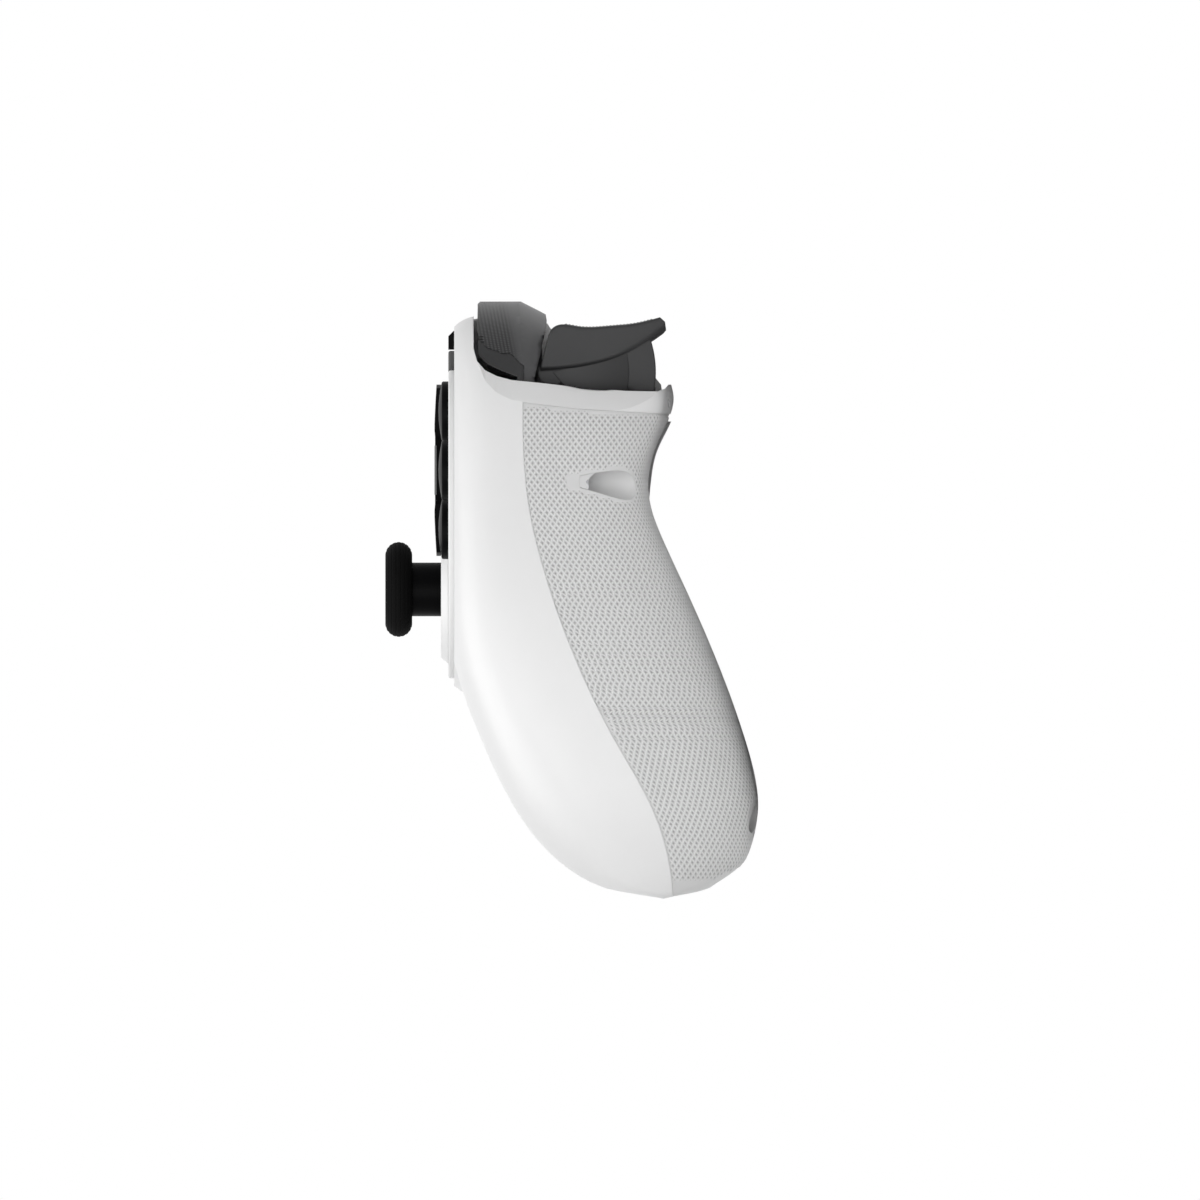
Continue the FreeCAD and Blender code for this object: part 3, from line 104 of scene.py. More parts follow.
class Relief(Enum):
    """Fine surface relief that a finish can carry."""

    SPARK = "spark eroded grain"
    DOTS = "even small pips"
    PIPS = "rows of pips that follow a bumper round its end"
    LINES = "milled lines"
    RINGS = "rings about the Z axis"
    BRUSHED = "brushed along Y"


@dataclass(frozen=True)
class Finish:
    """One material finish of the pad, named for what it is made of, how its surface was made, and any light
    or shade painted into its colour.
    """

    name: str
    colour: str
    shade: str
    roughness: float
    grain_mm: float
    depth_mm: float
    relief: Relief = Relief.SPARK
    ior: float = 1.5
    metallic: float = 0.0
    edge_mm: float = 0.0
    patch_mm: float = 18.0
    rough_swing: float = 0.06
    pit_shade_colour: str = ""
    fade_from_mm: float = 0.0
    fade_to_mm: float = 0.0

    def material(self) -> bpy.types.Material:
        """Build the node material, or return it if it exists.

        Returns:
            The material, with colour drift, roughness drift and relief on Object coordinates, and painted
            shade in the pits where the finish asks for it.
        """
        made = bpy.data.materials.get(self.name)
        if made:
            return made
        made = bpy.data.materials.new(self.name)
        made.use_nodes = True
        tree = made.node_tree
        tree.nodes.clear()
        place = add_node(tree, "ShaderNodeTexCoord").outputs["Object"]
        patches = add_node(tree, "ShaderNodeTexNoise", {"Scale": 1 / (self.patch_mm * MM), "Detail": 3.0},
                           {"Vector": place}).outputs["Fac"]
        mix = add_node(tree, "ShaderNodeMix", {"data_type": "RGBA"}, {"Factor": patches})
        mix.inputs[6].default_value = linear(self.colour)
        mix.inputs[7].default_value = linear(self.shade)
        tint = mix.outputs[2]
        height = self.height(tree, place)
        # Painted shade: the low pits between peaks or pips are darkened, most at their bottom
        if self.pit_shade_colour:
            depth = add_node(tree, "ShaderNodeAttribute", {"attribute_name": "pit"}).outputs["Fac"]
            if self.relief is Relief.PIPS:
                depth = add_node(tree, "ShaderNodeMath", {"operation": "SUBTRACT", 0: 1.0},
                                 {1: height}).outputs[0]
            share = add_node(tree, "ShaderNodeMath", {"operation": "POWER", 1: PIT_SHADE_POWER},
                             {0: depth}).outputs[0]
            darker = add_node(tree, "ShaderNodeMix", {"data_type": "RGBA"}, {"Factor": share, 6: tint})
            darker.inputs[7].default_value = linear(self.pit_shade_colour)
            tint = darker.outputs[2]
        rough = add_node(tree, "ShaderNodeMapRange",
                         {"To Min": max(self.roughness - self.rough_swing, 0.02),
                          "To Max": self.roughness + self.rough_swing}, {"Value": patches})
        bump = add_node(tree, "ShaderNodeBump", {"Strength": BUMP_STRENGTH, "Distance": self.depth_mm * MM},
                        {"Height": height})
        if self.edge_mm:
            round_edge = add_node(tree, "ShaderNodeBevel", {"samples": 4, "Radius": self.edge_mm * MM})
            tree.links.new(round_edge.outputs[0], bump.inputs["Normal"])
        shader = add_node(tree, "ShaderNodeBsdfPrincipled",
                          {"IOR": self.ior, "Metallic": self.metallic},
                          {"Base Color": tint, "Roughness": rough.outputs[0],
                           "Normal": bump.outputs[0]})
        add_node(tree, "ShaderNodeOutputMaterial", None, {"Surface": shader.outputs[0]})
        return made

    def height(self, tree: bpy.types.NodeTree, place: bpy.types.NodeSocket) -> bpy.types.NodeSocket:
        """Build the relief's height.

        Args:
            tree: The material's node tree.
            place: The Object coordinates.

        Returns:
            The socket that carries the height, from 0 to 1.
        """
        scale = 1 / (self.grain_mm * MM)
        if self.relief is Relief.SPARK:
            return add_node(tree, "ShaderNodeTexNoise", {"Scale": scale, "Detail": 2.0},
                            {"Vector": place}).outputs["Fac"]
        if self.relief is Relief.DOTS:
            return self.pips(tree, {"Scale": scale}, place)
        if self.relief is Relief.PIPS:
            return self.bumper_pips(tree, scale, place)
        if self.relief is Relief.LINES:
            return add_node(tree, "ShaderNodeTexWave",
                            {"Scale": scale / WAVES_PER_UNIT, "bands_direction": "X"},
                            {"Vector": place}).outputs["Fac"]
        if self.relief is Relief.RINGS:
            return add_node(tree, "ShaderNodeTexWave",
                            {"Scale": scale / WAVES_PER_UNIT, "bands_direction": "Z"},
                            {"Vector": place}).outputs["Fac"]
        stretch = add_node(tree, "ShaderNodeMapping", {"Scale": (1.0, BRUSH_STRETCH, 1.0)}, {"Vector": place})
        return add_node(tree, "ShaderNodeTexNoise", {"Scale": scale, "Detail": 2.0},
                        {"Vector": stretch.outputs[0]}).outputs["Fac"]

    @staticmethod
    def pips(tree: bpy.types.NodeTree, settings: dict, place: bpy.types.NodeSocket) -> bpy.types.NodeSocket:
        """Stand one round pip in each cell of an even grid.

        Args:
            tree: The material's node tree.
            settings: The grid's scale and dimensions.
            place: The coordinates that the grid lies on.

        Returns:
            The socket that carries the pips' height.
        """
        cell = add_node(tree, "ShaderNodeTexVoronoi", {**settings, "Randomness": 0.0},
                        {"Vector": place}).outputs["Distance"]
        return add_node(tree, "ShaderNodeMapRange", {"From Max": PIP_REACH, "To Min": 1.0, "To Max": 0.0},
                        {"Value": cell}).outputs[0]

    def bumper_pips(self, tree: bpy.types.NodeTree, scale: float,
                    place: bpy.types.NodeSocket) -> bpy.types.NodeSocket:
        """Stand pips in rows that run along a bumper and round its end, and smooth them out higher up.

        Args:
            tree: The material's node tree.
            scale: Rows in a metre.
            place: The Object coordinates.

        Returns:
            The socket that carries the pips' height.
        """
        parts = add_node(tree, "ShaderNodeSeparateXYZ", None, {"Vector": place})
        out = add_node(tree, "ShaderNodeMath", {"operation": "ABSOLUTE"}, {0: parts.outputs["X"]})
        around = add_node(tree, "ShaderNodeMath", {"operation": "SUBTRACT"},
                          {0: out.outputs[0], 1: parts.outputs["Y"]})
        flat = add_node(tree, "ShaderNodeCombineXYZ", None,
                        {"X": around.outputs[0], "Y": parts.outputs["Z"]})
        pips = self.pips(tree, {"voronoi_dimensions": "2D", "Scale": scale}, flat.outputs[0])
        smooth = add_node(tree, "ShaderNodeMapRange",
                          {"From Min": self.fade_from_mm * MM, "From Max": self.fade_to_mm * MM,
                           "To Min": 1.0, "To Max": 0.0}, {"Value": parts.outputs["Z"]})
        return add_node(tree, "ShaderNodeMath", {"operation": "MAXIMUM"},
                        {0: pips, 1: smooth.outputs[0]}).outputs[0]


# Moulded ABS, white and fine-grained: an even, slightly soft sheen with no clear reflections
WHITE_ABS = Finish("white_abs_moulded", "E4E4E4", "E0E0E0", 0.38, 0.12, 0.004, edge_mm=0.25)
# The same ABS on the pyramids: duller in sheen, because the tool is etched there; painted greyer than the
# front shell as painted shade on the rear, with painted shade deepest in the pits between them
LATTICE_ABS_PAINTED_SHADE = Finish("white_abs_etched_painted_shade", "D9D9D9", "D4D4D4", 0.50, 0.10, 0.004, pit_shade_colour="8A8A8A")
# The rear shell's own ABS round the lattice, as dull in sheen, and painted greyer than the front shell as
# painted shade on the rear
REAR_ABS_PAINTED_SHADE = Finish("white_abs_rear_painted_shade", "D3D3D3", "CFCFCF", 0.46, 0.12, 0.004, edge_mm=0.2)
# Charcoal ABS with a satin grain: wide soft highlights on dark grey
CHARCOAL_ABS = Finish("charcoal_abs_satin", "2A2A2B", "262627", 0.36, 0.10, 0.006,
                      edge_mm=0.45, ior=1.38)
# The bumper's gripping face: the same charcoal with pips 0.6 mm apart, painted lighter than the charcoal as
# painted light on the bumper's top, with painted shade between the pips
DOTTED_ABS_PAINTED_LIGHT_AND_SHADE = Finish("charcoal_abs_pipped_painted_light_and_shade", "4A4A4B", "444445", 0.44, 0.6, 0.05, relief=Relief.PIPS,
                    pit_shade_colour="1C1C1D", fade_from_mm=25.5, fade_to_mm=27.5, ior=1.38)
# The trigger's gripping face: the same charcoal, ribbed in its shape 0.6 mm apart, painted lighter than the
# charcoal as painted light on the trigger's top
LINED_ABS_PAINTED_LIGHT = Finish("charcoal_abs_lined_painted_light", "444445", "3E3E3F", 0.46, 0.3, 0.01, ior=1.38)
# Polycarbonate buttons: deep black, with a weak, soft reflection that keeps their edges dark
GLOSS_BLACK = Finish("black_polycarbonate_polished", "050506", "070708", 0.40, 0.6, 0.001,
                     ior=1.12, edge_mm=0.18, rough_swing=0.02)
# Touch surface: black, etched to a fine even satin so a thumb slides
TOUCH_SATIN = Finish("black_touch_glass_etched", "111112", "141415", 0.30, 0.35, 0.012,
                     relief=Relief.DOTS, edge_mm=0.15)
# Thumbstick rubber: near black, dull, with moulded rings 0.45 mm apart
STICK_RUBBER = Finish("black_rubber_ringed", "070707", "0A0A0A", 0.78, 0.45, 0.05, relief=Relief.RINGS,
                       ior=1.15)
# Inner mouldings: plain dark ABS straight from the tool
INNER_ABS = Finish("dark_abs_plain", "414142", "3A3A3B", 0.55, 0.25, 0.01, edge_mm=0.15)
# Silicone dome sheets: grey, soft, slightly milky
SILICONE = Finish("grey_silicone_moulded", "8C9194", "858A8D", 0.60, 0.30, 0.006, ior=1.41)
# Printed board: green solder mask over copper
SOLDER_MASK = Finish("green_solder_mask", "0F3B26", "16482F", 0.28, 1.2, 0.02, relief=Relief.LINES,
                     patch_mm=3.0)
# Pins, screws and springs: bright drawn steel
STEEL = Finish("steel_drawn", "A9A9AB", "9B9B9E", 0.30, 0.15, 0.004, relief=Relief.BRUSHED, metallic=1.0)
# Socket shell: nickel-plated sheet
NICKEL = Finish("nickel_plated", "BFBEBA", "B4B3AF", 0.18, 0.3, 0.002, metallic=1.0)
# Rumble weights: sintered heavy metal, dull and slightly grainy
SINTERED = Finish("sintered_heavy_metal", "6E6E70", "606063", 0.48, 0.2, 0.012, metallic=1.0)
# Battery: printed film wrap over a pouch cell
BATTERY_FILM = Finish("battery_film_wrap", "4B5560", "434C56", 0.35, 2.5, 0.03, patch_mm=8.0)


NODE_FINISH: dict[Finish, tuple[str, ...]] = {
    WHITE_ABS: ("front_shell", "back_plate", "face_plate", "left_stick_bezel", "right_stick_bezel"),
    REAR_ABS_PAINTED_SHADE: ("rear_shell",),
    CHARCOAL_ABS: ("left_trigger", "right_trigger", "left_bumper", "right_bumper"),
    GLOSS_BLACK: ("top_trim", "top_button", "right_button", "bottom_button", "left_button",
                  "left_menu_button", "right_menu_button", "home_button", "dpad", "left_stick_stem",
                  "right_stick_stem"),
    TOUCH_SATIN: ("touchpad",),
    STICK_RUBBER: ("left_stick_cap", "right_stick_cap"),
    INNER_ABS: ("dpad_gimbal", "dpad_bracket", "headset_jack", "left_shoulder_frame", "right_shoulder_frame",
                "left_stick_housing", "right_stick_housing", "left_stick_gimbal", "right_stick_gimbal",
                "left_stick_yoke", "right_stick_yoke", "left_bumper_switch", "right_bumper_switch",
                "left_motor_cradle", "right_motor_cradle"),
    SILICONE: ("button_membrane", "dpad_membrane"),
    SOLDER_MASK: ("button_board", "main_board"),
    STEEL: ("case_screws", "board_screws", "left_trigger_pin", "right_trigger_pin", "left_trigger_spring",
            "right_trigger_spring", "left_bumper_pin", "right_bumper_pin", "left_rumble_motor",
            "right_rumble_motor"),
    NICKEL: ("usb_c_socket",),
    SINTERED: ("left_rumble_weight", "right_rumble_weight"),
    BATTERY_FILM: ("battery_pack",),
}


BUTTON_CENTRES: dict[str, tuple[float, float]] = {
    "top_button": (45.0, 33.0), "right_button": (55.3, 22.7),
    "bottom_button": (45.0, 12.4), "left_button": (34.7, 22.7),
}


class Side(Enum):
    """The pad's two halves, with the sign of X on each."""

    LEFT = -1
    RIGHT = 1

    @property
    def word(self) -> str:
        """The side's name as the nodes and bodies use it."""
        return self.name.lower()


@dataclass
class PadFrame:
    """The pad's own frame, found from where the CAD's joints lie."""

    stick_pivot: tuple[float, float, float] = (27.0 * MM, 1.85 * MM, -9.5 * MM)

    def to_row(self) -> Matrix:
        """Work out the placement that lays the pad down.

        Returns:
            The matrix from the pad frame to the row frame.
        """
        joints = {joint["name"]: joint for joint in frame["joints"]}
        out = -Vector(joints["top_button_press"]["axis"])
        pivot = Vector(joints["right_stick_fore_aft"]["pos_m"])
        across = Vector((1, 0, 0))
        turn = Matrix((across, out.cross(across), out)).transposed()
        return Matrix.Translation(pivot - turn @ Vector(self.stick_pivot)) @ turn.to_4x4()


@dataclass
class Bench:
    """Modelling bench: the operators that every piece is worked with."""

    pad: Matrix

    def clear(self) -> None:
        """Deselect everything, in object mode."""
        if bpy.context.object and bpy.context.object.mode != "OBJECT":
            bpy.ops.object.mode_set(mode="OBJECT")
        bpy.ops.object.select_all(action="DESELECT")

    def pick(self, piece: bpy.types.Object) -> None:
        """Make one piece the only one selected, and active."""
        self.clear()
        piece.select_set(True)
        bpy.context.view_layer.objects.active = piece

    def modify(self, piece: bpy.types.Object, kind: str, **settings: object) -> None:
        """Add a modifier and apply it.

        Args:
            piece: The object to work on.
            kind: The modifier's type.
            settings: The modifier's own settings.
        """
        self.pick(piece)
        modifier = piece.modifiers.new(kind.lower(), kind)
        for name, value in settings.items():
            setattr(modifier, name, value)
        bpy.ops.object.modifier_apply(modifier=modifier.name)

    def surface(self, node: str) -> BVHTree:
        """Bring a CAD node's surface into the pad frame, in millimetres.

        Args:
            node: The node's name.

        Returns:
            A tree of its triangles for casting rays.
        """
        mesh = frame["nodes"][node].data
        back = self.pad.inverted()
        points = [(back @ vertex.co) / MM for vertex in mesh.vertices]
        return BVHTree.FromPolygons(points, [tuple(face.vertices) for face in mesh.polygons])

    def turned(self, name: str, profile: list[tuple[float, float]], centre: tuple[float, float],
               facets: int = 96) -> bpy.types.Object:
        """Turn a solid about a line out of the face.

        Args:
            name: The piece's name.
            profile: Radius and Z of each ring from the bottom up, in millimetres.
            centre: X and Y of the axis, in millimetres.
            facets: Number of faces around.

        Returns:
            The closed solid, in the pad frame.
        """
        self.clear()
        radius, z = profile[0]
        bpy.ops.mesh.primitive_circle_add(vertices=facets, radius=radius * MM, fill_type="NGON",
                                          location=(centre[0] * MM, centre[1] * MM, z * MM))
        piece = bpy.context.object
        piece.name = name
        bpy.ops.object.transform_apply(location=True, rotation=True, scale=True)
        bpy.ops.object.mode_set(mode="EDIT")
        bpy.ops.mesh.select_all(action="SELECT")
        for (r0, z0), (r1, z1) in zip(profile, profile[1:]):
            bpy.ops.mesh.extrude_region_move(TRANSFORM_OT_translate={"value": (0, 0, (z1 - z0) * MM)})
            bpy.ops.transform.resize(value=(r1 / r0, r1 / r0, 1),
                                     center_override=(centre[0] * MM, centre[1] * MM, z1 * MM))
        bpy.ops.mesh.select_all(action="SELECT")
        bpy.ops.mesh.normals_make_consistent(inside=False)
        bpy.ops.object.mode_set(mode="OBJECT")
        return piece

    def lay(self, piece: bpy.types.Object, finish: Finish, body: str, slot: str,
            replaces: tuple[str, ...] = (), angle: float = 30.0) -> bpy.types.Object:
        """Lay a finished piece down into the row frame and hand it over.

        Args:
            piece: The piece, in the pad frame.
            finish: What it is made of.
            body: The CAD body that it rides on.
            slot: The record's material slot; not used.
            replaces: CAD nodes that it stands for.
            angle: Edges sharper than this stay sharp, in degrees.

        Returns:
            The same piece.
        """
        self.pick(piece)
        bpy.ops.object.shade_smooth_by_angle(angle=math.radians(angle))
        piece.matrix_world = self.pad
        bpy.ops.object.transform_apply(location=True, rotation=True, scale=True)
        piece.data.materials.clear()
        piece.data.materials.append(finish.material())
        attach(piece, body)
        if replaces:
            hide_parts(*replaces)
        LOG.info("%s: %d faces on %s", piece.name, len(piece.data.polygons), body)
        return piece


@dataclass
class GripTexture:
    """Lattice of small four-sided pyramids over the rear shell, one piece for each half."""

    bench: Bench
    across_mm: float = 1.033
    along_mm: float = 1.33
    height_mm: float = 0.2
    lift_mm: float = 0.01
    rows_mm: tuple[float, float] = (-52.0, 34.4)
    seam_window: int = 9
    inner_mm: float = 8.0
    samples: int = 420
    longest_edge_mm: float = 1.9
    widest_step_mm: float = 1.2
    sink_mm: float = 0.05
    pockets_mm: tuple[tuple[float, float, float], ...] = ((71.4, 20.1, -20.0), (66.0, -38.2, -42.0))
    pocket_radius_mm: float = 2.6
    plate_mm: tuple[float, float, float] = (24.1, -8.1, 31.5)
    # Middle of the right half's sections: heights with their X, and heights with their Z
    middle_x_mm: tuple[tuple[float, ...], ...] = ((-52, -46, -30, -18, 0, 34),
                                                  (59.0, 60.5, 62.5, 60.0, 54.0, 52.0))
    middle_z_mm: tuple[tuple[float, ...], ...] = ((-52, -48, -40, -25, 0, 34),
                                                  (-38.5, -38.0, -35.0, -29.0, -22.0, -22.0))
    # Below this height the grip stands alone, and its section is seen from all round
    grip_top_mm: float = -18.2
    seam_turn: float = 60.0
    back_turn: float = -90.0
    round_turn: float = -250.0
    outer_start_mm: float = 40.0
    inner_start_mm: float = 26.0
    under_start_mm: float = -80.0
    least_facing: float = 0.05
    back_step_mm: float = 0.3
    past_middle_mm: float = 0.01
    least_samples: int = 8
    seam_samples: int = 40

    def build(self) -> None:
        """Wrap the lattice over each half of the rear shell."""
        surface = self.bench.surface("rear_shell")
        lines = self.contours(surface)
        for side in Side:
            self.wrap(lines, side)

    def centre(self, y: float) -> Vector:
        """A point inside the right half's section at a height, which its outline is seen from."""
        return Vector((float(np.interp(y, *self.middle_x_mm)), y, float(np.interp(y, *self.middle_z_mm))))

    def outline(self, surface: BVHTree, y: float) -> list[tuple[Vector, Vector, bool]]:
        """Follow the section's outer line at one height, from the seam round the back.

        Args:
            surface: The rear shell.
            y: The height, in millimetres.

        Returns:
            Points with their normals, and whether the lattice may cover them.
        """
        centre = self.centre(y)
        ring = y < self.grip_top_mm
        found: list[tuple[Vector, Vector, bool]] = []
        for turn in np.linspace(self.seam_turn, self.round_turn if ring else self.back_turn, self.samples):
            way = Vector((math.cos(math.radians(turn)), 0.0, math.sin(math.radians(turn))))
            start = centre + way * (self.outer_start_mm if not ring or way.x > 0 else self.inner_start_mm)
            spot, normal, _, _ = surface.ray_cast(start, -way)
            if spot is None or (spot - centre).dot(way) <= 0 or normal.dot(way) <= self.least_facing:
                continue
            found.append((spot, normal, self.bare(spot)))
        if not ring and found:
            for x in np.arange(centre.x - self.back_step_mm, -self.past_middle_mm, -self.back_step_mm):
                spot, normal, _, _ = surface.ray_cast(Vector((x, y, self.under_start_mm)), Vector((0, 0, 1)))
                if spot is None or normal.z > -self.least_facing:
                    break
                found.append((spot, normal, self.bare(spot)))
        return found

    def bare(self, spot: Vector) -> bool:
        """Whether the lattice may cover a spot: not in a screw pocket and not under the back plate."""
        half, low, high = self.plate_mm
        if abs(spot.x) < half and low < spot.y < high:
            return False
        return all(spot.z > z or math.hypot(spot.x - x, spot.y - y) > self.pocket_radius_mm
                   for x, y, z in self.pockets_mm)

    def contours(self, surface: BVHTree) -> list[tuple]:
        """Measure each row's outline from the seam, and line the rows up with each other.

        Args:
            surface: The rear shell.

        Returns:
            For each row its number, then the distances from the seam, points, normals and
            steps along it.
        """
        half_row = self.along_mm / 2
        first, last = [round(limit / half_row) for limit in self.rows_mm]
        rows = {}
        for index in range(first, last + 1):
            found = [sample for sample in self.outline(surface, index * half_row) if sample[2]]
            if len(found) > self.least_samples:
                points = np.array([tuple(sample[0]) for sample in found])
                normals = np.array([tuple(sample[1]) for sample in found])
                first_out = int(np.argmax(points[:, 0] > points[:, 0].max() - self.inner_mm))
                points, normals = points[first_out:], normals[first_out:]
                steps = np.linalg.norm(np.diff(points, axis=0), axis=1)
                rows[index] = (np.concatenate([[0.0], np.cumsum(steps)]), points, normals, steps)
        order = sorted(rows)
        seam = np.array([rows[index][1][0, 2] for index in order])
        half = self.seam_window // 2
        shares = np.full(self.seam_window, 1 / self.seam_window)
        smooth = np.convolve(np.pad(seam, half, mode="edge"), shares, "valid")
        lined = []
        for index, level in zip(order, smooth):
            along, points, normals, steps = rows[index]
            near = slice(self.seam_samples)
            start = float(np.interp(-level, -points[near, 2], along[near]))
            lined.append((index, along - start, points, normals, steps))
        return lined

    def wrap(self, lines: list[tuple], side: Side) -> None:
        """Measure where each corner of a flat grid goes on one half, then lay the grid there.

        Args:
            lines: The rows' outlines on the right half.
            side: The half to cover.
        """
        half_step = self.across_mm / 2
        low = math.floor(min(row[1][0] for row in lines) / half_step)
        high = math.ceil(max(row[1][-1] for row in lines) / half_step)
        columns, count = high - low + 1, len(lines)
        self.bench.clear()
        bpy.ops.mesh.primitive_grid_add(x_subdivisions=columns - 1, y_subdivisions=count - 1, size=1.0)
        piece = bpy.context.object
        piece.name = f"{side.word}_grip_pyramids"
        spots = np.full((count * columns, 3), np.nan)
        outward = np.zeros((count * columns, 3))
        raised = np.zeros(count * columns, bool)
        reach = (low + np.arange(columns)) * half_step
        for r, (index, along, points, normals, steps) in enumerate(lines):
            row = slice(r * columns, (r + 1) * columns)
            ahead = np.clip(np.searchsorted(along, reach), 1, len(along) - 1)
            inside = (reach >= along[0]) & (reach <= along[-1]) & (steps[ahead - 1] <= self.widest_step_mm)
            spot = np.stack([np.interp(reach, along, points[:, axis]) for axis in range(3)], axis=1)
            normal = np.stack([np.interp(reach, along, normals[:, axis]) for axis in range(3)], axis=1)
            outward[row] = normal / np.linalg.norm(normal, axis=1)[:, None]
            spots[row] = np.where(inside[:, None], spot, np.nan)
            raised[row] = (index + low + np.arange(columns)) % 2 == 0
        self.score(piece, raised)
        self.trim(piece, spots, outward, raised, side)

    def score(self, piece: bpy.types.Object, raised: np.ndarray) -> None:
        """Split each cell of the flat grid from peak to peak, so that the peaks stand in a net of pits.

        Args:
            piece: The flat grid.
            raised: Which corners are peaks.
        """
        self.bench.pick(piece)
        bpy.ops.object.mode_set(mode="EDIT")
        bpy.ops.mesh.select_mode(type="VERT")
        bpy.ops.mesh.select_all(action="DESELECT")
        bpy.ops.object.mode_set(mode="OBJECT")
        piece.data.vertices.foreach_set("select", raised)
        bpy.ops.object.mode_set(mode="EDIT")
        bpy.ops.mesh.vert_connect()
        bpy.ops.object.mode_set(mode="OBJECT")
        # The pits marked here get painted shade from the lattice's material
        pit = piece.data.attributes.new("pit", "FLOAT", "POINT")
        pit.data.foreach_set("value", (~raised).astype(np.float32))

    def trim(self, piece: bpy.types.Object, spots: np.ndarray, outward: np.ndarray, raised: np.ndarray,
             side: Side) -> None:
        """Move the corners to their places, delete what lies off the shell and sink the border.

        Args:
            piece: The scored grid.
            spots: Each corner's place on the shell in millimetres, or NaN off it.
            outward: The shell's normal at each corner.
            raised: Which corners are peaks.
            side: The half that the piece covers.
        """
        mesh = piece.data
        corners = np.array([face.vertices[:] for face in mesh.polygons])
        loop = spots[corners]
        edges = np.linalg.norm(loop - np.roll(loop, 1, axis=1), axis=2)
        good = np.nan_to_num(edges, nan=1e9).max(axis=1) < self.longest_edge_mm
        kept = corners[good]
        pairs = np.sort(np.concatenate([kept[:, [0, 1]], kept[:, [1, 2]], kept[:, [2, 0]]]), axis=1)
        single, times = np.unique(pairs, axis=0, return_counts=True)
        lift = np.where(raised, self.height_mm, self.lift_mm)
        lift[np.unique(single[times == 1])] = -self.sink_mm
        places = np.nan_to_num(spots + outward * lift[:, None]) * MM
        face = places[kept]
        turned_in = np.einsum("ij,ij->i", np.cross(face[:, 1] - face[:, 0], face[:, 2] - face[:, 0]),
                              outward[kept[:, 0]]).sum() < 0
        places[:, 0] *= side.value
        mesh.vertices.foreach_set("co", places.ravel().astype(np.float32))
        self.bench.pick(piece)
        bpy.ops.object.mode_set(mode="EDIT")
        bpy.ops.mesh.select_mode(type="FACE")
        bpy.ops.mesh.select_all(action="DESELECT")
        bpy.ops.object.mode_set(mode="OBJECT")
        mesh.polygons.foreach_set("select", ~good)
        bpy.ops.object.mode_set(mode="EDIT")
        bpy.ops.mesh.delete(type="FACE")
        bpy.ops.mesh.select_all(action="SELECT")
        if turned_in != (side is Side.LEFT):
            bpy.ops.mesh.flip_normals()
        bpy.ops.mesh.select_mode(type="VERT")
        bpy.ops.object.mode_set(mode="OBJECT")
        self.bench.lay(piece, LATTICE_ABS_PAINTED_SHADE, "case", "textured_abs", angle=1.0)


@dataclass
class FaceButton:
    """One round face button, turned with a rounded rim and a shallow dome."""

    bench: Bench
    radius_mm: float = 5.25
    lip_mm: float = 5.95
    foot_mm: float = 1.5
    foot_z_mm: float = -3.5
    lip_z_mm: tuple[float, float] = (-3.2, -2.3)
    rim_top_mm: float = 2.2
    crown_mm: float = 0.55
    edge_mm: float = 0.3

    def build(self, word: str, centre: tuple[float, float]) -> None:
        """Turn the button and lay it in place.

        Args:
            word: Which button it is, as its node and body are named.
            centre: X and Y of its middle in the pad frame, in millimetres.
        """
        under, over = self.lip_z_mm
        profile = [(self.foot_mm, self.foot_z_mm), (self.foot_mm, under), (self.lip_mm, under),
                   (self.lip_mm, over), (self.radius_mm, over),
                   (self.radius_mm, self.rim_top_mm - self.edge_mm)]
        for turn in (30, 60, 90):
            out = math.cos(math.radians(turn))
            up = math.sin(math.radians(turn))
            profile.append((self.radius_mm - self.edge_mm * (1 - out),
                            self.rim_top_mm - self.edge_mm * (1 - up)))
        inner = self.radius_mm - self.edge_mm
        for share in (0.9, 0.75, 0.55, 0.3, 0.04):
            profile.append((inner * share, self.rim_top_mm + self.crown_mm * (1 - share ** 2)))
        piece = self.bench.turned(f"{word}_cap", profile, centre)
        self.bench.lay(piece, GLOSS_BLACK, word, "black_gloss", replaces=(word,))


@dataclass
class StickTop:
    """Rubber top of one thumbstick: a round-edged disc with fine rings on its edge and a shallow dish."""

    bench: Bench
    radius_mm: float = 8.3
    bottom_mm: float = 7.35
    top_mm: float = 12.06
    stem_mm: float = 3.2
    dish_mm: float = 0.6
    ring_depth_mm: float = 0.07
    rings: int = 9
    centre: tuple[float, float] = (27.0, 1.85)

    def build(self, side: Side) -> None:
        """Turn the top with its rings, and lay it on its stick.

        Args:
            side: Which stick it belongs to.
        """
        half = (self.top_mm - self.bottom_mm) / 2
        flat = self.radius_mm - half
        middle = self.bottom_mm + half
        profile = [(self.stem_mm, self.bottom_mm), (flat, self.bottom_mm)]
        steps = 4 * self.rings
        for k in range(1, steps):
            turn = math.radians(-90 + 180 * k / steps)
            reach = half - (self.ring_depth_mm if k % 4 == 0 else 0.0)
            profile.append((flat + reach * math.cos(turn), middle + reach * math.sin(turn)))
        for share in (1.0, 0.93, 0.75, 0.5, 0.25, 0.03):
            profile.append((flat * share, self.top_mm - self.dish_mm * (1 - share ** 2)))
        word = side.word
        piece = self.bench.turned(f"{word}_stick_top", profile,
                                  (side.value * self.centre[0], self.centre[1]))
        self.bench.lay(piece, STICK_RUBBER, f"{word}_stick", "black_rubber",
                       replaces=(f"{word}_stick_cap",), angle=24.0)


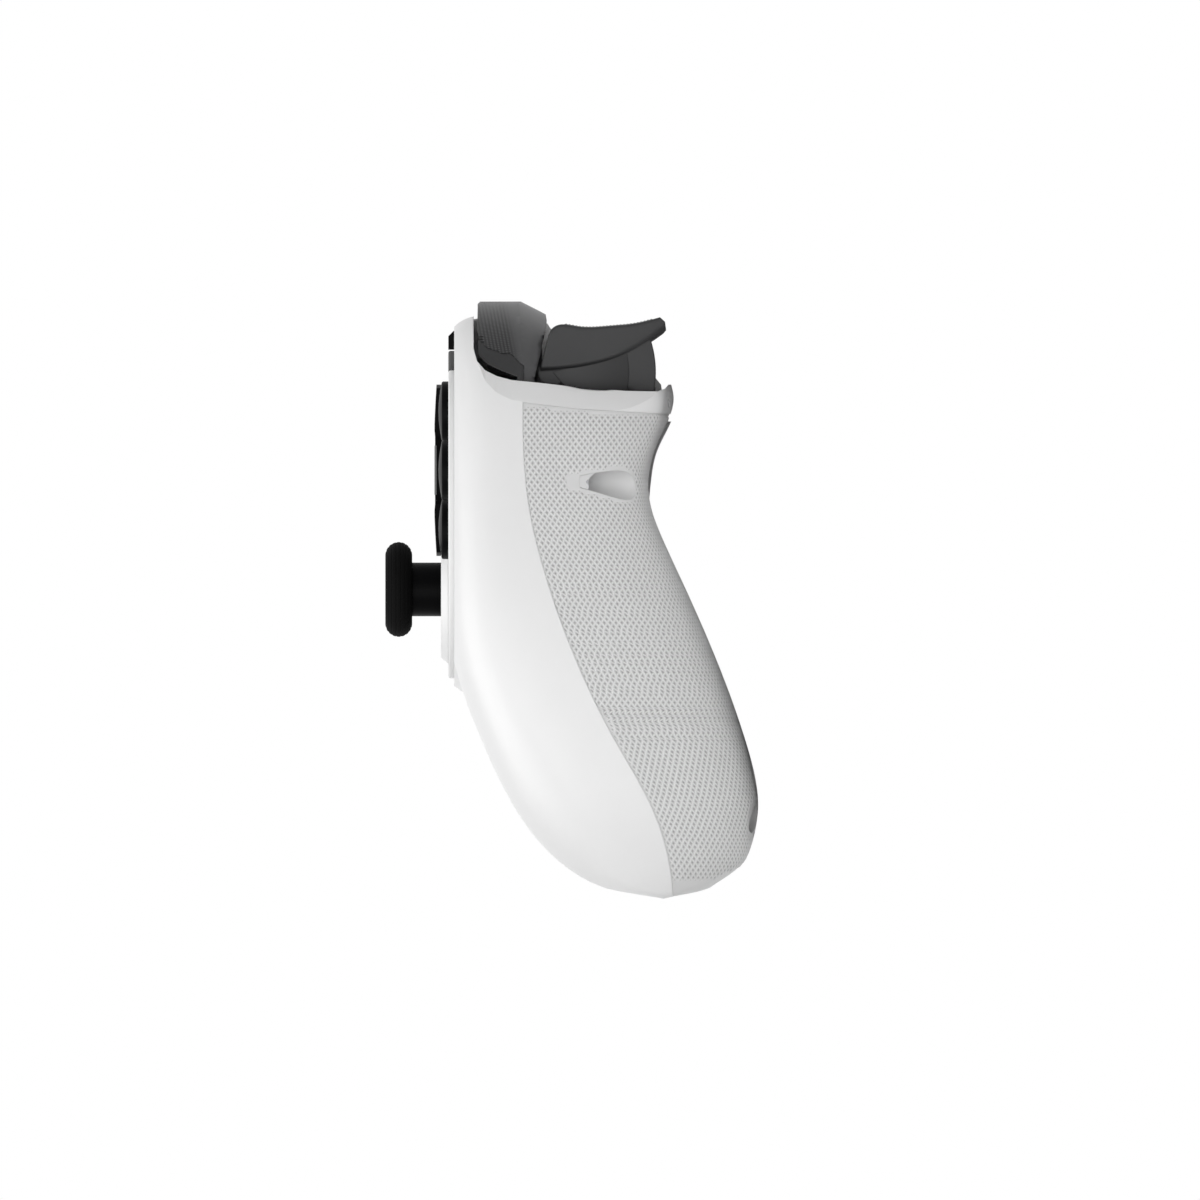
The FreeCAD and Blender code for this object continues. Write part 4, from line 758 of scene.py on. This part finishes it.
@dataclass
class BumperGrip:
    """Gripping skin of a bumper: a little proud of it, down to a broken crease line."""

    bench: Bench
    crease_mm: tuple[tuple[float, float], ...] = ((-4.1, 47.1), (-5.25, 44.6), (-7.14, 43.6), (-9.05, 43.2),
                                                  (-9.8, 43.2), (-12.2, 40.95), (-12.3, 36.0))
    proud_mm: float = 0.14
    merge_mm: float = 0.001
    front_mm: float = 0.02

    def build(self, side: Side) -> None:
        """Copy the bumper's skin, cut it at the crease line and raise it.

        Args:
            side: Which bumper it belongs to.
        """
        word = side.word
        self.bench.clear()
        piece = bpy.data.objects.new(f"{word}_bumper_grip", frame["nodes"][f"{word}_bumper"].data.copy())
        bpy.context.scene.collection.objects.link(piece)
        self.bench.pick(piece)
        piece.matrix_world = self.bench.pad.inverted()
        bpy.ops.object.transform_apply(location=True, rotation=True, scale=True)
        bpy.ops.object.mode_set(mode="EDIT")
        bpy.ops.mesh.select_all(action="SELECT")
        bpy.ops.mesh.remove_doubles(threshold=self.merge_mm * MM)
        for (z0, y0), (z1, y1) in zip(self.crease_mm, self.crease_mm[1:]):
            bpy.ops.mesh.select_all(action="SELECT")
            bpy.ops.mesh.bisect(plane_co=(0, y0 * MM, z0 * MM), plane_no=(0, z0 - z1, y1 - y0))
        bpy.ops.mesh.select_mode(type="FACE")
        bpy.ops.mesh.select_all(action="DESELECT")
        bpy.ops.object.mode_set(mode="OBJECT")
        lows = [z for z, _ in reversed(self.crease_mm)]
        heights = [y for _, y in reversed(self.crease_mm)]
        for face in piece.data.polygons:
            z, y = face.center.z / MM, face.center.y / MM
            at_front = z > self.crease_mm[0][0] - self.front_mm
            face.select = at_front or (z > lows[0] and y < np.interp(z, lows, heights))
        bpy.ops.object.mode_set(mode="EDIT")
        bpy.ops.mesh.delete(type="FACE")
        bpy.ops.mesh.select_all(action="SELECT")
        bpy.ops.transform.shrink_fatten(value=self.proud_mm * MM)
        bpy.ops.mesh.select_mode(type="VERT")
        bpy.ops.object.mode_set(mode="OBJECT")
        self.bench.modify(piece, "SOLIDIFY", thickness=self.proud_mm * MM, offset=-1.0)
        self.bench.lay(piece, DOTTED_ABS_PAINTED_LIGHT_AND_SHADE, f"{word}_bumper", "charcoal_abs")
        self.bench.modify(piece, "WEIGHTED_NORMAL", keep_sharp=True)


@dataclass
class TriggerGrip:
    """Ribbed pad on top of a trigger, draped over the paddle, with ribs across it."""

    bench: Bench
    from_x_mm: float = 31.4
    to_x_mm: float = 55.6
    from_z_mm: float = -19.0
    to_z_mm: float = -34.8
    rib_mm: float = 0.6
    rib_high_mm: float = 0.16
    rib_low_mm: float = 0.03
    border_mm: float = -0.06
    columns: int = 24
    above_mm: float = 60.0

    def build(self, side: Side) -> None:
        """Drape a flat grid on the paddle and raise every other line of it.

        Args:
            side: Which trigger it belongs to.
        """
        word = side.word
        surface = self.bench.surface(f"{word}_trigger")
        across = self.columns
        along = round(abs(self.to_z_mm - self.from_z_mm) / (self.rib_mm / 2))
        self.bench.clear()
        bpy.ops.mesh.primitive_grid_add(x_subdivisions=across, y_subdivisions=along, size=1.0)
        piece = bpy.context.object
        piece.name = f"{word}_trigger_grip"
        low, high = sorted((side.value * self.from_x_mm, side.value * self.to_x_mm))
        for k, vertex in enumerate(piece.data.vertices):
            column, row = k % (across + 1), k // (across + 1)
            x = low + (high - low) * column / across
            z = self.to_z_mm + (self.from_z_mm - self.to_z_mm) * row / along
            spot, normal, _, _ = surface.ray_cast(Vector((x, self.above_mm, z)), Vector((0, -1, 0)))
            edge = column in (0, across) or row in (0, along)
            lift = self.border_mm if edge else (self.rib_high_mm if row % 2 else self.rib_low_mm)
            vertex.co = (spot + normal * lift) * MM
        self.bench.pick(piece)
        bpy.ops.object.mode_set(mode="EDIT")
        bpy.ops.mesh.select_all(action="SELECT")
        bpy.ops.mesh.normals_make_consistent(inside=False)
        bpy.ops.object.mode_set(mode="OBJECT")
        if sum(face.normal.y for face in piece.data.polygons) < 0:
            bpy.ops.object.mode_set(mode="EDIT")
            bpy.ops.mesh.flip_normals()
            bpy.ops.object.mode_set(mode="OBJECT")
        self.bench.lay(piece, LINED_ABS_PAINTED_LIGHT, f"{word}_trigger", "charcoal_abs", angle=20.0)


@dataclass
class TriggerWeb:
    """Web on a trigger's outer cheek that closes the wedge between its hub and its round core."""

    bench: Bench
    pivot_mm: tuple[float, float] = (-17.1, 39.9)
    reach_mm: float = 13.6
    middle_x_mm: float = 56.64
    thick_mm: float = 0.8
    from_angle: float = 18.0
    to_angle: float = -50.0
    edge_mm: float = 0.15

    def build(self, side: Side) -> None:
        """Cut the wedge out of a disc and lay it on its trigger.

        Args:
            side: Which trigger it belongs to.
        """
        z, y = self.pivot_mm
        place = (side.value * self.middle_x_mm * MM, y * MM, z * MM)
        self.bench.clear()
        bpy.ops.mesh.primitive_cylinder_add(vertices=96, radius=self.reach_mm * MM, depth=self.thick_mm * MM,
                                            location=place, rotation=(0, math.pi / 2, 0))
        piece = bpy.context.object
        piece.name = f"{side.word}_trigger_web"
        bpy.ops.object.transform_apply(location=True, rotation=True, scale=True)
        bpy.ops.object.mode_set(mode="EDIT")
        for angle, way in ((self.from_angle, 1), (self.to_angle, -1)):
            turn = math.radians(angle)
            bpy.ops.mesh.select_all(action="SELECT")
            bpy.ops.mesh.bisect(plane_co=place, plane_no=(0, way * math.cos(turn), way * math.sin(turn)),
                                clear_outer=True, use_fill=True)
        bpy.ops.object.mode_set(mode="OBJECT")
        self.bench.modify(piece, "BEVEL", width=self.edge_mm * MM, segments=3, limit_method="ANGLE")
        self.bench.lay(piece, CHARCOAL_ABS, f"{side.word}_trigger", "charcoal_abs")


@dataclass
class PocketLip:
    """Lip that closes the front end of an upper screw pocket to an oval mouth, level with the shell."""

    bench: Bench
    centre_mm: tuple[float, float] = (20.1, -26.8)
    half_mm: tuple[float, float] = (2.6, 3.5)
    front_z_mm: float = -21.3
    beside_mm: float = 3.3
    span_mm: float = 2.9
    rows: int = 24
    columns: int = 12
    sunk_mm: float = 0.02
    deep_mm: float = 1.6
    dip_mm: float = 0.4
    dip_deep_mm: float = 0.2
    outside_mm: float = 90.0

    def build(self, side: Side) -> None:
        """Lay a patch over the mouth's front end, bend it to the shell and give it depth.

        Args:
            side: Which half it belongs to.
        """
        surface = self.bench.surface("rear_shell")
        self.bench.clear()
        bpy.ops.mesh.primitive_grid_add(x_subdivisions=self.columns, y_subdivisions=self.rows, size=1.0)
        piece = bpy.context.object
        piece.name = f"{side.word}_pocket_lip"
        middle_y, middle_z = self.centre_mm
        half_y, half_z = self.half_mm
        for k, vertex in enumerate(piece.data.vertices):
            column, row = k % (self.columns + 1), k // (self.columns + 1)
            off = -self.span_mm + 2 * self.span_mm * row / self.rows
            bulge = math.sqrt(max(0.0, 1 - (off / half_y) ** 2))
            z = self.front_z_mm + (middle_z + half_z * bulge - self.front_z_mm) * column / self.columns
            share = (off + self.beside_mm) / (2 * self.beside_mm)
            front, beside = self.front_z_mm, self.beside_mm
            places = ((-beside, z), (beside, z), (-beside, front), (beside, front), (off, front))
            low, high, low_front, high_front, here = [
                surface.ray_cast(Vector((self.outside_mm, middle_y + step, level)), Vector((-1, 0, 0)))[0].x
                for step, level in places]
            bow = here - low_front - (high_front - low_front) * share
            at_front = max(0.0, 1 - (self.front_z_mm - z) / self.dip_mm)
            at_side = max(0.0, (abs(off) - self.span_mm + self.dip_mm) / self.dip_mm)
            dip = self.dip_deep_mm * max(at_front, at_side) ** 2
            x = low + (high - low) * share + bow - self.sunk_mm - dip
            vertex.co = Vector((side.value * x, middle_y + off, z)) * MM
        self.bench.pick(piece)
        bpy.ops.object.mode_set(mode="EDIT")
        bpy.ops.mesh.select_all(action="SELECT")
        inwards = (-side.value * self.deep_mm * MM, 0, 0)
        bpy.ops.mesh.extrude_region_move(TRANSFORM_OT_translate={"value": inwards})
        bpy.ops.mesh.select_all(action="SELECT")
        bpy.ops.mesh.normals_make_consistent(inside=False)
        bpy.ops.object.mode_set(mode="OBJECT")
        self.bench.lay(piece, REAR_ABS_PAINTED_SHADE, "case", "textured_abs")


@dataclass
class Photographer:
    """Camera, lamps, world and floor."""

    pad: Matrix
    pixel_mm: float = 0.175
    frame_px: int = 1200
    centre_mm: tuple[float, float, float] = (0.0, 0.0, -25.515)
    distance: float = 0.6
    aim_height: float = 0.02
    floor_size: float = 3.0
    floor_colour: str = "F4F4F4"
    floor_shade: str = "F0F0F0"
    floor_glow: float = 0.2
    key_watts: float = 4.6
    fill_watts: float = 2.2
    back_watts: float = 1.5
    world_level: float = 0.13

    def camera(self) -> None:
        """Place the camera where the photograph was taken from: square on to the right-hand side."""
        bpy.ops.object.camera_add()
        camera = bpy.context.object
        camera.name = "side_camera"
        camera.data.type = "ORTHO"
        camera.data.ortho_scale = self.frame_px * self.pixel_mm * MM
        camera.data.clip_start = 0.01
        left = self.pad.to_3x3() @ Vector((0, 0, 1))
        up = self.pad.to_3x3() @ Vector((0, 1, 0))
        turn = Matrix((-left, up, Vector((1, 0, 0)))).transposed()
        place = self.pad @ (Vector(self.centre_mm) * MM) + Vector((self.distance, 0, 0))
        camera.matrix_world = Matrix.Translation(place) @ turn.to_4x4()
        bpy.context.scene.camera = camera

    def softbox(self, name: str, place: tuple[float, float, float], size: tuple[float, float],
                watts: float, mirrored: bool = True) -> None:
        """Add one rectangular soft lamp aimed at the pad.

        Args:
            name: The lamp's name.
            place: Where it hangs, in metres in the row frame.
            size: Its width and height in metres.
            watts: Its power.
            mirrored: Whether gloss shows it.
        """
        bpy.ops.object.light_add(type="AREA", location=place)
        lamp = bpy.context.object
        lamp.name = name
        lamp.data.shape = "RECTANGLE"
        lamp.data.size, lamp.data.size_y = size
        lamp.data.energy = watts
        lamp.visible_glossy = mirrored
        aim = Vector((0, 0, self.aim_height)) - Vector(place)
        lamp.rotation_euler = aim.to_track_quat("-Z", "Y").to_euler()

    def lights(self) -> None:
        """Hang the softboxes: a wide key over the face, and a low fill each side."""
        self.softbox("key_over_face", (0.25, -0.05, 0.75), (0.7, 0.7), self.key_watts)
        self.softbox("fill_right", (0.8, -0.1, 0.25), (0.6, 0.5), self.fill_watts)
        self.softbox("fill_left", (-0.8, -0.1, 0.35), (0.6, 0.5), self.fill_watts, mirrored=False)
        self.softbox("back", (0.0, 0.8, 0.45), (0.7, 0.5), self.back_watts, mirrored=False)

    @staticmethod
    def seen_rays(tree: bpy.types.NodeTree) -> bpy.types.NodeSocket:
        """Tell the rays that show the background from those that only light the pad.

        Args:
            tree: The node tree to add to.

        Returns:
            A socket that is 1 for camera, glossy and transmission rays.
        """
        rays = add_node(tree, "ShaderNodeLightPath").outputs
        through = add_node(tree, "ShaderNodeMath", {"operation": "MAXIMUM"},
                           {0: rays["Is Camera Ray"], 1: rays["Is Transmission Ray"]})
        seen = add_node(tree, "ShaderNodeMath", {"operation": "MAXIMUM"},
                        {0: through.outputs[0], 1: rays["Is Glossy Ray"]})
        return seen.outputs[0]

    def world(self) -> None:
        """Light the surroundings evenly, and show them white to the camera and in reflections."""
        world = bpy.data.worlds.new("studio")
        bpy.context.scene.world = world
        world.use_nodes = True
        tree = world.node_tree
        tree.nodes.clear()
        level = add_node(tree, "ShaderNodeMapRange", {"To Min": self.world_level, "To Max": 1.0},
                         {"Value": self.seen_rays(tree)})
        glow = add_node(tree, "ShaderNodeBackground", {"Color": (1, 1, 1, 1)}, {"Strength": level.outputs[0]})
        add_node(tree, "ShaderNodeOutputWorld", None, {"Surface": glow.outputs[0]})

    def floor(self) -> None:
        """Lay the pale paper floor, which shows near white and keeps the pad's shadow."""
        bpy.ops.mesh.primitive_plane_add(size=self.floor_size, location=(0, 0, 0))
        sweep = bpy.context.object
        sweep.name = "paper_floor"
        paper = Finish("paper_sweep", self.floor_colour, self.floor_shade, 0.85, 0.8, 0.01, patch_mm=120.0)
        white = paper.material()
        shader = next(node for node in white.node_tree.nodes if node.type == "BSDF_PRINCIPLED")
        glow = add_node(white.node_tree, "ShaderNodeMath", {"operation": "MULTIPLY", 1: self.floor_glow},
                        {0: self.seen_rays(white.node_tree)})
        white.node_tree.links.new(glow.outputs[0], shader.inputs["Emission Strength"])
        shader.inputs["Emission Color"].default_value = (1, 1, 1, 1)
        sweep.data.materials.append(white)

    def set_up(self) -> None:
        """Set the whole stage."""
        bpy.context.scene.view_settings.view_transform = "Standard"
        self.camera()
        self.lights()
        self.world()
        self.floor()


def dress_nodes() -> None:
    """Give every CAD node its finish."""
    for finish, names in NODE_FINISH.items():
        for name in names:
            data = frame["nodes"][name].data
            data.materials.clear()
            data.materials.append(finish.material())


def main() -> None:
    """Build every sub-assembly's looks in order."""
    logging.basicConfig(level=logging.INFO, format="%(message)s")
    pad = PadFrame().to_row()
    bench = Bench(pad)
    Photographer(pad).set_up()
    dress_nodes()
    GripTexture(bench).build()
    for word, centre in BUTTON_CENTRES.items():
        FaceButton(bench).build(word, centre)
    for side in Side:
        StickTop(bench).build(side)
        BumperGrip(bench).build(side)
        TriggerGrip(bench).build(side)
        TriggerWeb(bench).build(side)
        PocketLip(bench).build(side)


if __name__ == "__main__":
    main()
